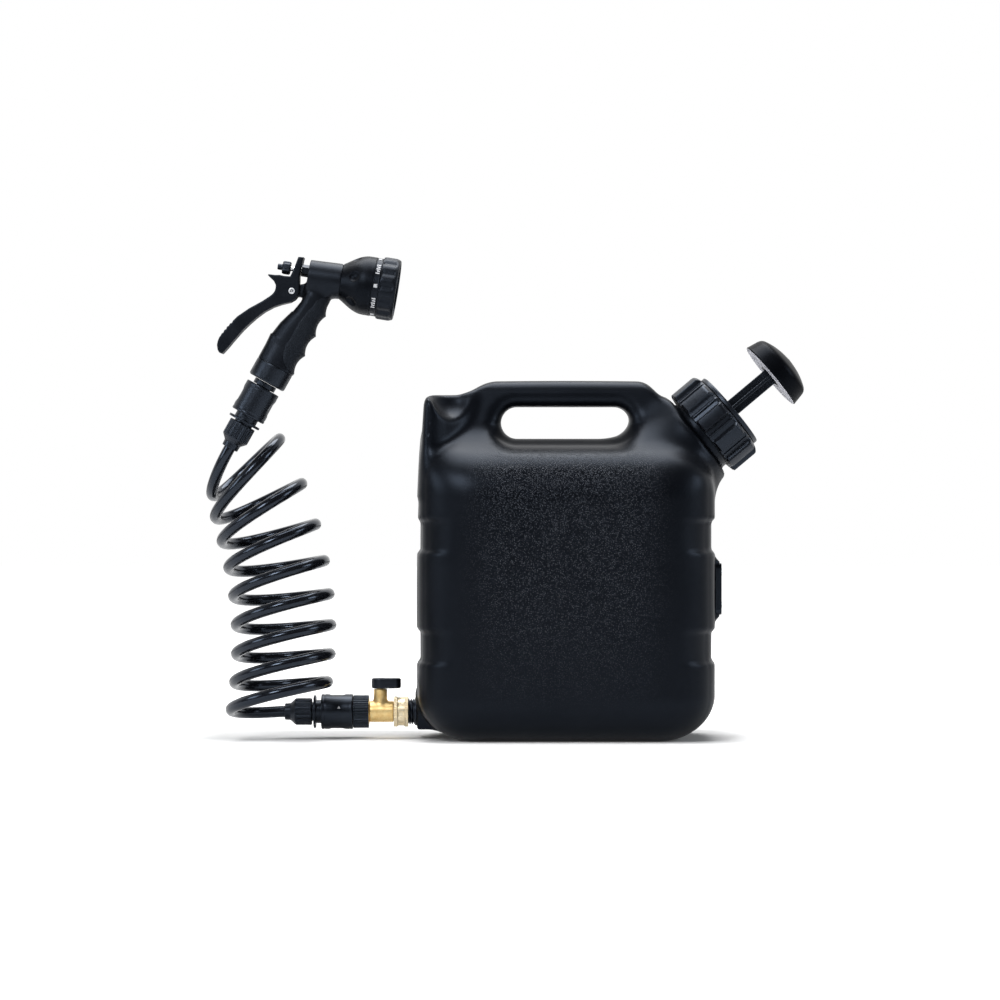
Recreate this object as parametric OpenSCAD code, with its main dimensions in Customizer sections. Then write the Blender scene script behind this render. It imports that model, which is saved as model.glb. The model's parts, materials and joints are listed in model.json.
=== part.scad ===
// Camp shower pump: a moulded pressure tank with a hand pump, a brass ball valve,
// a coiled hose on quick connectors and a spray gun with a rear trigger.
// The origin is the middle of the tank's base, Z is up and the outlet points along -X.

/* [Tank] */
// Width of the tank
tank_w = 297; // [285:1:310]
// Depth of the tank
tank_d = 170; // [162:1:184]
// Height of the tank to the top of its handle
tank_h = 357; // [352:1:368]
// Thickness of the moulded wall
tank_wall = 3; // [2:0.5:4]
// Rise of the handle's top above the shoulder
handle_rise = 89; // [85:1:95]
// Width of the flat base
base_w = 184; // [160:1:200]
// Depth of the flat base
base_d = 104; // [90:1:120]
// Height of the round between base and sides
base_round = 45; // [35:1:50]
// Depth of the two grooves in each side
groove_depth = 3.5; // [1:0.5:5]
// Width of the handle opening
grip_w = 129; // [115:1:136]
// Height of the handle opening
grip_h = 32; // [28:1:34]
// Height of the handle bar
bar_h = 26; // [22:1:28]
// Depth of the handle bar
bar_d = 34; // [28:1:40]
// Height of the plate on the right side
pad_h = 51; // [40:1:60]
// Width of the plate on the right side
pad_w = 44; // [30:1:56]
// Thickness of the plate on the right side
pad_t = 6; // [4:0.5:9]

/* [Pump] */
// Lean of the pump from upright, in degrees
pump_lean = 50; // [47:1:53]
// Outside radius of the tank's neck
neck_r = 39; // [37:0.5:40]
// Wall of the tank's neck
neck_wall = 5; // [4:0.5:6]
// Height of the neck above its facet
neck_h = 32; // [30:1:35]
// Wall of the screw cap
cap_wall = 4; // [3:0.5:6]
// Height of the screw cap
cap_h = 33; // [31:1:36]
// Number of lugs round the screw cap
cap_lugs = 11; // [8:1:14]
// How far a lug stands out of the cap
lug_t = 5; // [3:0.5:7]
// Radius of the cover on top of the cap
cover_r = 41; // [38:0.5:44]
// Outside radius of the pump barrel
barrel_r = 20; // [17:0.5:23]
// Wall of the pump barrel
barrel_wall = 2; // [1.5:0.5:3]
// Length of the pump barrel below its flange
barrel_len = 176; // [165:1:185]
// Width of the cross-shaped pump rod
rod_w = 16.7; // [14:0.1:19]
// Thickness of the rod's webs
rod_web = 3.4; // [2.5:0.1:5]
// Length of rod that shows at rest
rod_show = 51; // [48:1:58]
// Radius of the pump knob
knob_r = 36; // [32:0.5:40]
// Height of the pump knob
knob_h = 25; // [22:1:30]

/* [Outlet and valve] */
// Height of the outlet axis
outlet_z = 26.5; // [25:0.5:29]
// Radius of the hose threads
thread_r = 13; // [12:0.25:13.5]
// Radius of the swivel nut
swivel_r = 15.3; // [15:0.1:17]
// Radius of the valve body
valve_r = 10.6; // [10.4:0.1:12]
// Radius of the valve ball
ball_r = 7.4; // [6.8:0.1:7.6]
// Bore of the water way, as a radius
water_r = 4.2; // [3.5:0.1:4.6]
// Radius of the valve's stem post
post_r = 7; // [6:0.25:8]
// Length of the valve lever
lever_len = 29.5; // [26:0.5:34]
// Thickness of the valve lever
lever_t = 10.3; // [8:0.1:12]

/* [Quick connectors and hose] */
// Radius of the connector sleeves
sleeve_r = 17.5; // [17:0.1:19]
// Length of the connector sleeves
sleeve_len = 31.7; // [31:0.1:33]
// Radius of the connector nipples
nipple_r = 7.5; // [7:0.1:8]
// Radius of the ribbed hose nuts
nut_r = 13.5; // [13:0.1:15]
// Ribs round a hose nut
nut_ribs = 24; // [16:1:30]
// Outside diameter of the hose
hose_d = 11.5; // [9:0.5:12]
// Turns of the hose coil
coil_turns = 8; // [6:1:8]
// Radius of the coil at the middle of the hose
coil_r = 47; // [45:0.5:50]
// Rise of the coil's first turn
coil_pitch = 25.8; // [24:0.1:27]
// Rise that each further turn adds twice
coil_spread = 0.56; // [0.4:0.02:0.8]

/* [Spray gun] */
// Lean of the gun's grip from upright, in degrees
grip_lean = 29.2; // [27:0.1:31]
// Angle between the grip and the barrel
barrel_angle = 70; // [68:0.5:72]
// Radius of the collar under the grip
collar_r = 19.3; // [19:0.1:21]
// Height of the collar
collar_h = 18; // [16:0.5:20]
// Half thickness of the grip
grip_half = 15; // [14:0.25:16]
// Radius of the gun's barrel
gun_r = 16.4; // [16:0.1:17]
// Length of the gun's barrel behind the head
gun_len = 33; // [32:0.5:35]
// Length of the flared head
bell_len = 31.5; // [30:0.1:34]
// Radius of the flared head
bell_r = 29; // [28:0.25:31]
// Number of finger dimples round the head
dimples = 6; // [4:1:8]
// Width of the pattern band
band_w = 6.4; // [5:0.1:8]
// Width of the dial ring
dial_w = 17; // [15:0.5:19]
// How far the dial ring stands out from the head
dial_proud = 1.9; // [1.5:0.1:3]
// Number of grips round the dial ring
dial_grips = 14; // [10:1:20]
// Radius of the gun's stem
stem_r = 2.4; // [2:0.1:2.6]
// Width of the trigger
trigger_w = 20; // [18:0.5:22]
// Reach of the trigger's tip below its pivot
trigger_reach = 73; // [68:1:78]

/* [Hidden] */
$fn = 48;
hull_fn = 24;

// Clearances: sliding and turning fits, seats face to face, and soft pieces
fit = 0.3;
seat = 0.1;

// Colours
dark = "#20242b";
black = "#15171a";
rubber = "#2a2c30";
brass = "#c9a254";
pale_brass = "#d9c08a";
steel = "#c9ccd0";
white = "#e9e6dc";

// Lines of the tank
half_w = tank_w / 2;
half_d = tank_d / 2;
shoulder_z = tank_h - handle_rise;
corner_power = 5;
bar_z = tank_h - bar_h / 2;
opening_z = tank_h - bar_h - grip_h / 2;
opening_low = opening_z - grip_h / 2;
bar_end = grip_w / 2 + 20;
ridge_half_d = 31;
ridge_left = 9;
ridge_z = opening_low + 6;
lip = 5;
column_in = 100;
column_drop = 15;
column_half = 16;
column_draw = 0.7;
groove_zs = [93.5, 202.5];
groove_half = 13;
groove_edge = 5;
pad_z = 149.5;
pad_round = 5;
pad_hole = 2.2;
pad_hole_z = pad_h / 2 - 9;
boss_half_d = 18;
boss_low = 16.5;

// The pump's frame starts at the middle of the cap's lower rim
pump_pos = [half_w - 12.3, 0, shoulder_z + 36.3];
facet_s = -8;
neck_top = facet_s + neck_h;
neck_bore = neck_r - neck_wall;
gasket_t = 1.6;
flange_t = 3;
flange_s = neck_top + gasket_t;
cap_bore = neck_r + 1.4;
cap_r = cap_bore + cap_wall;
cap_hole = neck_r - 6;
cap_under = flange_s + flange_t + fit;
cover_t = 4.6;
cover_s = cap_h + fit;
cover_top = cover_s + cover_t;
barrel_bore = barrel_r - barrel_wall;
barrel_low = flange_s - barrel_len;
foot_t = 5;
foot_hole = 4;
push = 44;
piston_h = 12;
piston_s = barrel_low + foot_t + push + 4;
knob_s = cover_top + rod_show;
knob_wall = 3;
knob_side = 18;
knob_taper = 4;
hub_r = rod_w / 2 + 3;
hub_len = 15;
pin_r = rod_web / 3;
rod_top = knob_s + knob_h - knob_wall - 2;

// Stations along the outlet, out from the tank's side
stub_len = 17;
stub_tail = 20;
stub_flange = 2;
stub_r = thread_r - 3;
washer_t = 2;
tail_t = 2;
nut_start = 8.5;
nut_lip = 1.7;
washer_s = stub_len;
tail_s = washer_s + washer_t;
lip_s = tail_s + tail_t + fit;
body_s = lip_s + nut_lip + fit;
ball_s = body_s + 13.2;
body_end = ball_s + 11;
thread_end = body_end + 10.5;
web_s = thread_end + washer_t + 2 * seat;
mouth_s = web_s + 3.3;
seat_back = ball_r + 1.2;
seat_len = 4.2;
chamber_r = ball_r + fit;
post_top = 22.9;
stem_axle = 3;
lever_hub = 9;
adaptor_r = thread_r + 3.5;
adaptor_ribs = 30;

// Stations along a quick connector, from the sleeve's mouth to the hose
nipple_len = 20.5;
groove_in = 1.3;
jaw_z = 6.8;
jaw_t = 3;
ring_z = 15;
ring_r = 1;
core_r = sleeve_r - 4.9;
core_in = core_r - 3;
core_front = 0.6;
core_step = 12;
rib_t = 2;
sleeve_front = fit;
sleeve_bore = core_r + 0.4;
sleeve_travel = 4;
sleeve_end = sleeve_front + sleeve_len;
stop_z = sleeve_end - 3;
stop_t = 2.5;
core_flange = sleeve_end + sleeve_travel + 1.2;
core_flange_t = 2.5;
hose_nut_z = core_flange + core_flange_t + 1.6;
hose_nut_len = 16.7;
cone_len = 10.7;
cone_r = 10;
cone_end = hose_nut_z + hose_nut_len + cone_len;
hose_z = cone_end - 14.5;
core_thread = 9.5;
spring_wire = 0.6;
spring_coils = 4;

// The hose: a stack of loops that leans left and tips over towards its top
hose_r = hose_d / 2;
hose_sides = 8;
loop_rings = 24;
coil_drift = 3.7;
coil_lean = 67.5;
lean_power = 2.45;
coil_back = 42;
coil_dip = 6.5;
coil_tilt = 8.8;
coil_tip = 42;
tip_power = 4.3;
riser_r = 50.5;
riser_rings = 8;
lead_out = 4;
grip_dir = [sin(grip_lean), 0, cos(grip_lean)];
hose_in = [-half_w - mouth_s - hose_z, 0, outlet_z];
coil_from = [-half_w - mouth_s - cone_end - lead_out, 0, outlet_z];
coil_ends = coil_turns + 0.25;

function unit(v) = v / norm(v);
function coil_axis(n) = [
    coil_drift * n - coil_lean * pow(n / coil_turns, lean_power),
    coil_back * n / coil_turns,
    coil_pitch * n + coil_spread * n * n
];
function tilt(n) = coil_tilt + coil_tip * pow(n / coil_turns, tip_power);
function across(n) = [cos(tilt(n)), 0, sin(tilt(n))];
function inward() = [0, cos(coil_dip), -sin(coil_dip)];
function coil_point(n) =
    coil_from + coil_axis(n)
        - coil_r * sin(360 * n) * across(n)
        + coil_r * (cos(360 * n) - 1) * inward();
riser_from = coil_point(coil_ends);
riser_dir = unit(riser_from - coil_point(coil_ends - 0.001));
riser_turn = acos(riser_dir * grip_dir);
riser_side = unit(grip_dir - (grip_dir * riser_dir) * riser_dir);
function riser_point(a) = riser_from + riser_r * (sin(a) * riser_dir + (1 - cos(a)) * riser_side);
hose_out = riser_point(riser_turn);
hose_end = hose_out + (cone_end - hose_z) * grip_dir;
hose_path = concat(
    [hose_in, coil_from + [lead_out, 0, 0]],
    [for (i = [0 : loop_rings * coil_ends]) coil_point(i / loop_rings)],
    [for (i = [1 : riser_rings]) riser_point(riser_turn * i / riser_rings)],
    [hose_end]
);
hose_count = len(hose_path);
hose_length = path_length(hose_path, 0);
function path_length(p, i) = i >= len(p) - 1 ? 0 : norm(p[i + 1] - p[i]) + path_length(p, i + 1);
hose_gap = min([
    for (i = [0 : hose_count - 1], j = [i + loop_rings / 2 : 1 : hose_count - 1])
        norm(hose_path[i] - hose_path[j])
]) - hose_d;
echo(hose_length = hose_length, hose_gap = hose_gap);

// Stations of the spray gun: along the grip from its collar, and along the barrel from its rear
grip_gap = 5.5;
grip_pos = hose_out + (grip_gap + cone_end) * grip_dir;
grip_top = 120;
tail_r = 12.6;
nipple_thread = 9;
nipple_in = 14;
barrel_pos = [-16.2, 0, 116.2];
head_drop = 4.7;
barrel_flare = 1.2;
finger_pitch = 21;
finger_first = 16.5;
finger_depth = 1.7;
grip_front = 16.7;
grip_power = 2.8;
grip_sides = 24;
grip_rows = 26;
pad_proud = 0.9;
pad_seat = 0.25;
pad_rows = 20;
pad_cols = 14;
pad_low = 24;
pad_high = 104;
pad_edge = [[24, 65], [34, 91], [51, 97], [86, 84], [104, 62]];
chamber_back = 10;
gun_bore = 8.5;
gland_r = 6;
gland_len = 7.4;
gland_in = 6;
plunger_t = 5;
seal_t = 2;
seal_end = gun_len - 0.6;
plunger_s = seal_end - seal_t - seat;
spring_from = chamber_back + fit;
spring_to = plunger_s - plunger_t - fit;
stem_back = -31.4;
pivot = [22.2, -13.4];
pivot_r = 2.3;
pivot_head = 3.3;
ear_w = 11;
ear_r = 5.5;
ear_root = [18, 4];
fork_r = 5;
flow_len = 9.2;
flow_r = 6.6;
flow_front = pivot[1] - fork_r - 0.4;
fork_back = pivot[1] - fork_r;
trigger_head = [
    [-12.5, -12.2], [-12.5, -9.3], [8.6, -7.8], [21.5, -6.2], [29.5, -8.5], [34.5, -14.5], [36, -24],
    [27, -30.5], [17.5, -31.5], [13.5, -34.5], [11, -39], [9.2, -38.6], [8.6, -30], [8.4, fork_back],
    [0, fork_back], [-7, -14.8]
];
arm_reach = 73;
trigger_arm = [
    [29.5, -21, 8.6], [37, -32, 5.6], [51.8, -47.9, 7.4], [64, -59, 8.5], [75, -67.5, 8.3], [85, -73, 6],
    [93, -73.4, 2]
];
head_wall = 3.6;
bell_from = gun_len + seat;
bell_to = bell_from + bell_len;
band_to = bell_to + seat + band_w;
dial_from = band_to + fit;
dial_to = dial_from + dial_w;
spigot_r = bell_r - 2.2;
spigot_to = dial_from + 7.4;
dial_bore = spigot_r + fit;
dial_r = bell_r + dial_proud;
face_t = 2.8;
face_from = spigot_to + fit;
lip_from = face_from + face_t + seat;
dimple_r = 8.6;
dimple_depth = 2.2;
dimple_at = 0.43;
dimple_turn = 17.5;
bell_full = 0.8;
bell_power = 1.1;

// Frames of the assembly
module at_outlet() {
    translate([-half_w, 0, outlet_z]) rotate([0, -90, 0]) children();
}
module at_lower() {
    at_outlet() translate([0, 0, mouth_s]) children();
}
module at_grip() {
    translate(grip_pos) rotate([0, grip_lean, 0]) children();
}
module at_upper() {
    at_grip() translate([0, 0, -grip_gap]) rotate([180, 0, 0]) children();
}
module at_barrel() {
    at_grip() translate(barrel_pos) rotate([0, barrel_angle, 0]) children();
}
module at_head() {
    at_barrel() translate([head_drop, 0, 0]) children();
}
module at_pump() {
    translate(pump_pos) rotate([0, pump_lean, 0]) children();
}

// Shared shapes
module tube(outer, inner, from, to) {
    difference() {
        translate([0, 0, from]) cylinder(r = outer, h = to - from);
        translate([0, 0, from - 1]) cylinder(r = inner, h = to - from + 2);
    }
}
module rod(radius, from, to) {
    translate([0, 0, from]) cylinder(r = radius, h = to - from);
}
module cross_rod(radius, length) {
    rotate([90, 0, 0]) cylinder(r = radius, h = length, center = true);
}

// A closed skin over rings of points, from the first ring to the last
module loft(rings) {
    m = len(rings[0]);
    k = len(rings);
    sides = [
        for (j = [0 : k - 2], i = [0 : m - 1])
            let (a = j * m + i, b = j * m + (i + 1) % m)
            each [[a, a + m, b], [b, a + m, b + m]]
    ];
    low = [for (i = [1 : m - 2]) [0, i, i + 1]];
    high = [for (i = [1 : m - 2]) let (z = (k - 1) * m) [z, z + i + 1, z + i]];
    polyhedron(points = [for (r = rings) each r], faces = concat(low, sides, high));
}

// A round tube swept along points, square to the path at both ends
module sweep(path, radius, sides) {
    last = len(path) - 1;
    rings = [
        for (i = [0 : last])
            let (
                ahead = unit(path[min(i + 1, last)] - path[max(i - 1, 0)]),
                first = i == 0 ? unit(path[1] - path[0]) : ahead,
                dir = i == last ? unit(path[last] - path[last - 1]) : first,
                side = unit(cross(dir, [0, 0, 1])),
                top = cross(side, dir)
            )
            [for (s = [0 : sides - 1]) let (t = 360 * s / sides)
                path[i] + radius * (cos(t) * side + sin(t) * top)]
    ];
    loft(rings);
}

// A helical spring along Z
module spring(radius, wire, from, to, coils) {
    rings = 8;
    steps = coils * rings;
    low = from + wire;
    rise = to - from - 2 * wire;
    sweep(
        [for (i = [0 : steps]) let (t = 360 * i / rings)
            [radius * cos(t), radius * sin(t), low + rise * i / steps]],
        wire, 6
    );
}

// A column with flat-topped ribs all round it
module knurled(radius, depth, count, from, to) {
    step = 360 / count;
    rib = [[-0.34, -depth], [-0.2, 0], [0.2, 0], [0.34, -depth]];
    outline = [for (i = [0 : count - 1], p = rib) let (r = radius + p[1], a = (i + p[0]) * step)
        [r * cos(a), r * sin(a)]];
    translate([0, 0, from]) linear_extrude(to - from) polygon(outline);
}

// A body stretched round balls at the given points
module blob(points, radius) {
    hull() for (p = points) translate(p) sphere(r = radius, $fn = hull_fn);
}

// A thin closed plate between two grids of points
module patch(outer, inner) {
    m = len(outer[0]);
    k = len(outer);
    half = m * k;
    quads = [
        for (j = [0 : k - 2], i = [0 : m - 2])
            let (a = j * m + i, b = a + m)
            [a, a + 1, b + 1, b]
    ];
    rim = concat(
        [for (i = [0 : m - 1]) i],
        [for (j = [1 : k - 1]) j * m + m - 1],
        [for (i = [m - 2 : -1 : 0]) (k - 1) * m + i],
        [for (j = [k - 2 : -1 : 1]) j * m]
    );
    top = [for (q = quads) each [[q[0], q[1], q[2]], [q[0], q[2], q[3]]]];
    low = [for (t = top) [t[2] + half, t[1] + half, t[0] + half]];
    n = len(rim);
    wall = [
        for (i = [0 : n - 1])
            let (a = rim[i], b = rim[(i + 1) % n])
            each [[b, a, a + half], [b, a + half, b + half]]
    ];
    spots = [for (r = concat(outer, inner)) each r];
    polyhedron(points = spots, faces = concat(top, low, wall));
}

// Tank
tank_sides = 44;
function power(v, p) = sign(v) * pow(abs(v), p);
function rounding(z) = z >= base_round ? 1 : sqrt(1 - pow(1 - z / base_round, 2));
function groove(z) = groove_depth * max([
    for (g = groove_zs) max(0, min(1, (groove_half + groove_edge - abs(z - g)) / groove_edge))
]);
function slope(z) = max(0, min(1, (z - shoulder_z) / (ridge_z - shoulder_z)));
function tank_ring(z, inset) =
    let (
        k = rounding(z - inset),
        f = slope(z),
        side = base_w / 2 + (half_w - base_w / 2) * k - inset,
        left = side - ridge_left * f,
        right = side - (half_w - column_in) * f,
        b = base_d / 2 + (half_d - base_d / 2) * k - inset - (half_d - ridge_half_d) * f
    )
    [
        for (i = [0 : tank_sides - 1])
            let (
                t = 360 * i / tank_sides,
                c = cos(t),
                a = (right + left) / 2 - groove(z) * max(0, 2 * abs(c) - 1)
            )
            [(right - left) / 2 + power(c, 2 / corner_power) * a, power(sin(t), 2 / corner_power) * b, z]
    ];
groove_out = groove_half + groove_edge;
base_steps = [0, 0.05, 0.18, 0.42, 0.7, 1];
function tank_zs(inset, top) = concat(
    [for (f = base_steps) inset + base_round * f],
    [for (g = groove_zs, e = [-groove_out, -groove_half, groove_half, groove_out]) g + e],
    [shoulder_z, top]
);
module tank_skin(inset, top) {
    loft([for (z = tank_zs(inset, top)) tank_ring(z, inset)]);
}
module handle_wall() {
    soft = 8;
    blob(concat(
        [for (x = [-column_in + 2, column_in - 8], y = [-1, 1]) [x, y * (ridge_half_d - soft), opening_low]],
        [for (x = [-column_in + 22, column_in - 28], y = [-1, 1]) [x, y * (bar_d / 2 - soft), bar_z]]
    ), soft);
}
module handle_bar() {
    sag = 2;
    hull() for (p = [[-bar_end, sag], [-bar_end / 2, 0], [bar_end / 2, 0], [bar_end, sag]])
        translate([p[0], 0, bar_z - p[1]])
            rotate([0, 90, 0])
                resize([bar_h, bar_d, 1]) cylinder(r = 1, h = 1, center = true, $fn = hull_fn);
}
module thumb_column(inset) {
    soft = 7;
    top = tank_h - column_drop - soft - inset;
    out = -half_w + soft + inset;
    wide = out + 10 - inset;
    drawn = column_draw * inset;
    low = [[out + 1, 44], [wide, 56 - drawn], [-column_in - inset, column_half]];
    high = [[out + 8, 38], [wide + 6, 50 - drawn], [-column_in - inset + 10, column_half - 2]];
    blob(concat(
        [for (p = low, y = [-1, 1]) [p[0], y * (p[1] - inset), shoulder_z - 8]],
        [for (p = high, y = [-1, 1]) [p[0], y * (p[1] - inset), top]]
    ), soft);
}
module thumb_scoop(side, grow) {
    translate([-column_in - 11, side * (ridge_half_d + 9), tank_h - 8])
        resize([46, 52, 66] + 2 * grow * [1, 1, 1]) sphere(r = 1, $fn = hull_fn);
}
module neck_block() {
    hull() {
        at_pump() rod(neck_r + 8, facet_s - 3, facet_s);
        translate([half_w - 60, 0, shoulder_z - 24]) cube([104, 132, 16], center = true);
        translate([column_in - 20, 0, opening_low]) cube([20, 2 * ridge_half_d - 8, 40], center = true);
        translate([column_in - 18, 0, bar_z - 7]) cube([16, bar_d - 8, 8], center = true);
    }
}
module outlet_boss() {
    tall = 2 * boss_low;
    hull() {
        translate([-half_w, -boss_half_d, outlet_z - boss_low]) cube([1, 2 * boss_half_d, tall]);
        translate([-half_w + 56, -boss_half_d - 6, outlet_z - boss_low + 2])
            cube([1, 2 * boss_half_d + 12, tall]);
    }
}
module handle_opening() {
    r = grip_h / 2;
    far = grip_w / 2 - r;
    deep = ridge_half_d - bar_d / 2 + 8;
    hull() for (x = [-far, far]) translate([x, 0, opening_z]) cross_rod(r, 4 * ridge_half_d);
    for (side = [-1, 1])
        hull() for (x = [-far, far])
            translate([x, side * (ridge_half_d + 1 - deep), opening_z])
                rotate([-side * 90, 0, 0]) cylinder(r1 = r - 1, r2 = r + lip, h = deep, $fn = hull_fn);
}
module tank() {
    color(dark) difference() {
        union() {
            tank_skin(0, ridge_z);
            handle_wall();
            handle_bar();
            thumb_column(0);
            neck_block();
            outlet_boss();
            at_pump() rod(neck_r, facet_s - 4, neck_top);
        }
        tank_skin(tank_wall, opening_low - lip - 2 * tank_wall);
        difference() {
            thumb_column(tank_wall);
            for (side = [-1, 1]) thumb_scoop(side, tank_wall);
        }
        handle_opening();
        for (side = [-1, 1]) thumb_scoop(side, 0);
        at_pump() rod(neck_bore, -75, neck_top + 1);
        at_outlet() rod(stub_r + seat, -60, 1);
    }
}
module side_pad() {
    color(black) difference() {
        translate([half_w + seat, 0, pad_z])
            rotate([0, 90, 0]) linear_extrude(pad_t) rounded(pad_h, pad_w, pad_round);
        for (side = [-1, 1])
            translate([half_w, 0, pad_z + side * pad_hole_z])
                rotate([0, 90, 0]) cylinder(r = pad_hole, h = 3 * pad_t);
    }
}
module rounded(w, h, r) {
    polygon([for (q = [0 : 3], a = [0 : 15 : 90]) let (t = 90 * q + a)
        [(w / 2 - r) * (q == 0 || q == 3 ? 1 : -1) + r * cos(t), (h / 2 - r) * (q < 2 ? 1 : -1) + r * sin(t)]]);
}
module pad_screws() {
    head_r = 2 * pad_hole;
    head_t = 1.8;
    color(steel)
        for (side = [-1, 1])
            translate([half_w + 2 * seat, 0, pad_z + side * pad_hole_z]) rotate([0, 90, 0]) {
                cylinder(r = pad_hole - seat, h = pad_t + 0.5);
                translate([0, 0, pad_t]) cylinder(r1 = head_r, r2 = head_r - 1, h = head_t);
            }
}

// Outlet stub and ball valve
neck_in = valve_r - 1.4;
module outlet_stub() {
    color(black) at_outlet() difference() {
        union() {
            rod(stub_r, -stub_tail, stub_len);
            rod(thread_r + 1, seat, stub_flange);
            rod(thread_r, seat, stub_len - seat);
        }
        rod(water_r + 2, -stub_tail - 1, stub_len + 1);
    }
}
module swivel_nut() {
    color(pale_brass) at_outlet() difference() {
        union() {
            knurled(swivel_r, 0.8, 20, nut_start, lip_s + nut_lip - 4);
            rod(swivel_r - 0.6, lip_s + nut_lip - 5, lip_s + nut_lip);
        }
        rod(thread_r + fit, nut_start - 1, lip_s);
        rod(neck_in + fit, lip_s - 1, lip_s + nut_lip + 1);
    }
}
module swivel_washer() {
    color(black) at_outlet() tube(thread_r - seat, water_r + 1, washer_s, washer_s + washer_t - seat);
}
module valve_body() {
    color(brass) at_outlet() difference() {
        union() {
            rod(thread_r - fit, tail_s, tail_s + tail_t);
            rod(neck_in, tail_s + 1, body_s + 1);
            rod(valve_r, body_s, body_end);
            translate([0, 0, ball_s]) rotate([0, 90, 0]) cylinder(r = post_r, h = post_top);
        }
        rod(water_r, tail_s - 1, ball_s);
        rod(chamber_r, ball_s - seat_back - seat, body_end + 1);
        translate([0, 0, ball_s]) rotate([0, 90, 0]) cylinder(r = stem_axle + 0.07, h = post_top + 1);
    }
}
module valve_end() {
    spigot = ball_s + seat_back + seat;
    color(brass) at_outlet() difference() {
        union() {
            rod(chamber_r - seat, spigot, body_end + 1);
            rod(thread_r, body_end + seat, thread_end);
        }
        rod(water_r, spigot - 1, thread_end + 1);
    }
}
module ball_seats() {
    color(white) at_outlet() translate([0, 0, ball_s]) for (side = [-1, 1])
        difference() {
            translate([0, 0, side * (seat_back - seat_len / 2)])
                cylinder(r = chamber_r - seat, h = seat_len, center = true);
            cylinder(r = water_r, h = 4 * ball_r, center = true);
            sphere(r = ball_r + seat);
        }
}
module valve_ball() {
    slot = 3;
    color(steel) at_outlet() translate([0, 0, ball_s]) difference() {
        sphere(r = ball_r);
        cylinder(r = water_r, h = 4 * ball_r, center = true);
        translate([ball_r - 2, -slot / 2, -ball_r]) cube([slot, slot, 2 * ball_r]);
    }
}
screw_r = 1.5;
screw_head = 3.8;
screw_sink = 2.4;
stem_top = post_top + fit + lever_t - screw_sink - 1;
module valve_stem() {
    blade = 2.7;
    color(brass) at_outlet() translate([0, 0, ball_s]) difference() {
        union() {
            translate([ball_r - 1.9, -blade / 2, -stem_axle + 0.5]) cube([2.4, blade, 2 * stem_axle - 1]);
            translate([ball_r + seat, 0, 0])
                rotate([0, 90, 0]) cylinder(r = stem_axle, h = stem_top - ball_r - seat);
        }
        translate([stem_top - 8, 0, 0]) rotate([0, 90, 0]) cylinder(r = screw_r + seat, h = 9);
    }
}
function taper_outline(r0, r1, gap) = concat(
    [for (a = [-90 : 15 : 90]) [gap + r1 * cos(a), r1 * sin(a)]],
    [for (a = [90 : 15 : 270]) [r0 * cos(a), r0 * sin(a)]]
);
module valve_lever() {
    tip_r = 6;
    color(black) at_outlet() translate([post_top + fit, 0, ball_s]) rotate([0, 90, 0]) difference() {
        linear_extrude(lever_t) polygon(taper_outline(lever_hub, tip_r, lever_len - lever_hub - tip_r));
        translate([0, 0, -1]) cylinder(r = stem_axle + 0.07, h = lever_t - screw_sink + seat);
        translate([0, 0, lever_t - screw_sink]) cylinder(r = screw_head + 0.4, h = screw_sink + 1);
        cylinder(r = screw_r + seat, h = lever_t);
    }
}
module lever_screw() {
    color(steel) at_outlet() translate([stem_top + seat, 0, ball_s]) rotate([0, 90, 0]) {
        translate([0, 0, 1]) cylinder(r = screw_head, h = 1.8);
        translate([0, 0, -6]) cylinder(r = screw_r, h = 7.5);
    }
}

// Quick connectors: the same pieces at both ends of the hose
module nipple(from) {
    difference() {
        rod(nipple_r, from, nipple_len);
        tube(nipple_r + 1, nipple_r - groove_in, jaw_z - 2 * seat, jaw_z + jaw_t + 2 * seat);
        tube(nipple_r + 1, nipple_r - 2 * ring_r - seat, ring_z - 1.3 * ring_r, ring_z + 1.3 * ring_r);
    }
}
module jaw_ring(outer, inner, from, to, spread) {
    for (a = [0 : 120 : 240])
        rotate([0, 0, a - spread / 2])
            rotate_extrude(angle = spread) translate([inner, from]) square([outer - inner, to - from]);
}
module connector_core() {
    collet = hose_r - 0.3;
    color(black) difference() {
        union() {
            rod(core_r, core_front, core_step);
            rod(core_in, core_step - 1, stop_z + 1);
            rod(core_r, stop_z, stop_z + stop_t);
            rod(core_r - 1, stop_z + 1, core_flange + 1);
            rod(sleeve_r - 1, core_flange, core_flange + core_flange_t);
            rod(core_thread, core_flange + 1, hose_nut_z + 9);
            rod(collet, hose_nut_z + 8, hose_z - seat);
        }
        rod(nipple_r + 2 * seat, core_front - 1, nipple_len + 0.5);
        rod(water_r - 1, nipple_len, hose_z + 1);
        jaw_ring(core_r + 1, nipple_r - 1, jaw_z - seat, jaw_z + jaw_t + seat, 46);
    }
}
module connector_jaws() {
    color(white) jaw_ring(core_r - seat, nipple_r - groove_in + 2 * seat, jaw_z, jaw_z + jaw_t, 42);
}
module connector_o_ring() {
    color(rubber) rotate_extrude() translate([nipple_r - ring_r, ring_z]) circle(r = ring_r - seat / 2);
}
module connector_sleeve() {
    edge = 1.2;
    rib = core_step + fit;
    color(black) {
        difference() {
            union() {
                rod(sleeve_r, sleeve_front + edge, sleeve_end - edge);
                translate([0, 0, sleeve_front]) cylinder(r1 = sleeve_r - edge, r2 = sleeve_r, h = edge);
                translate([0, 0, sleeve_end - edge]) cylinder(r1 = sleeve_r, r2 = sleeve_r - edge, h = edge);
            }
            rod(sleeve_bore, sleeve_front - 1, sleeve_end + 1);
        }
        tube(sleeve_bore + 1, core_in + 0.4, rib, rib + rib_t);
    }
}
module connector_spring() {
    middle = (core_in + sleeve_bore) / 2;
    from = core_step + fit + rib_t + seat;
    color(steel) spring(middle, spring_wire, from, stop_z - seat, spring_coils);
}
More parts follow.
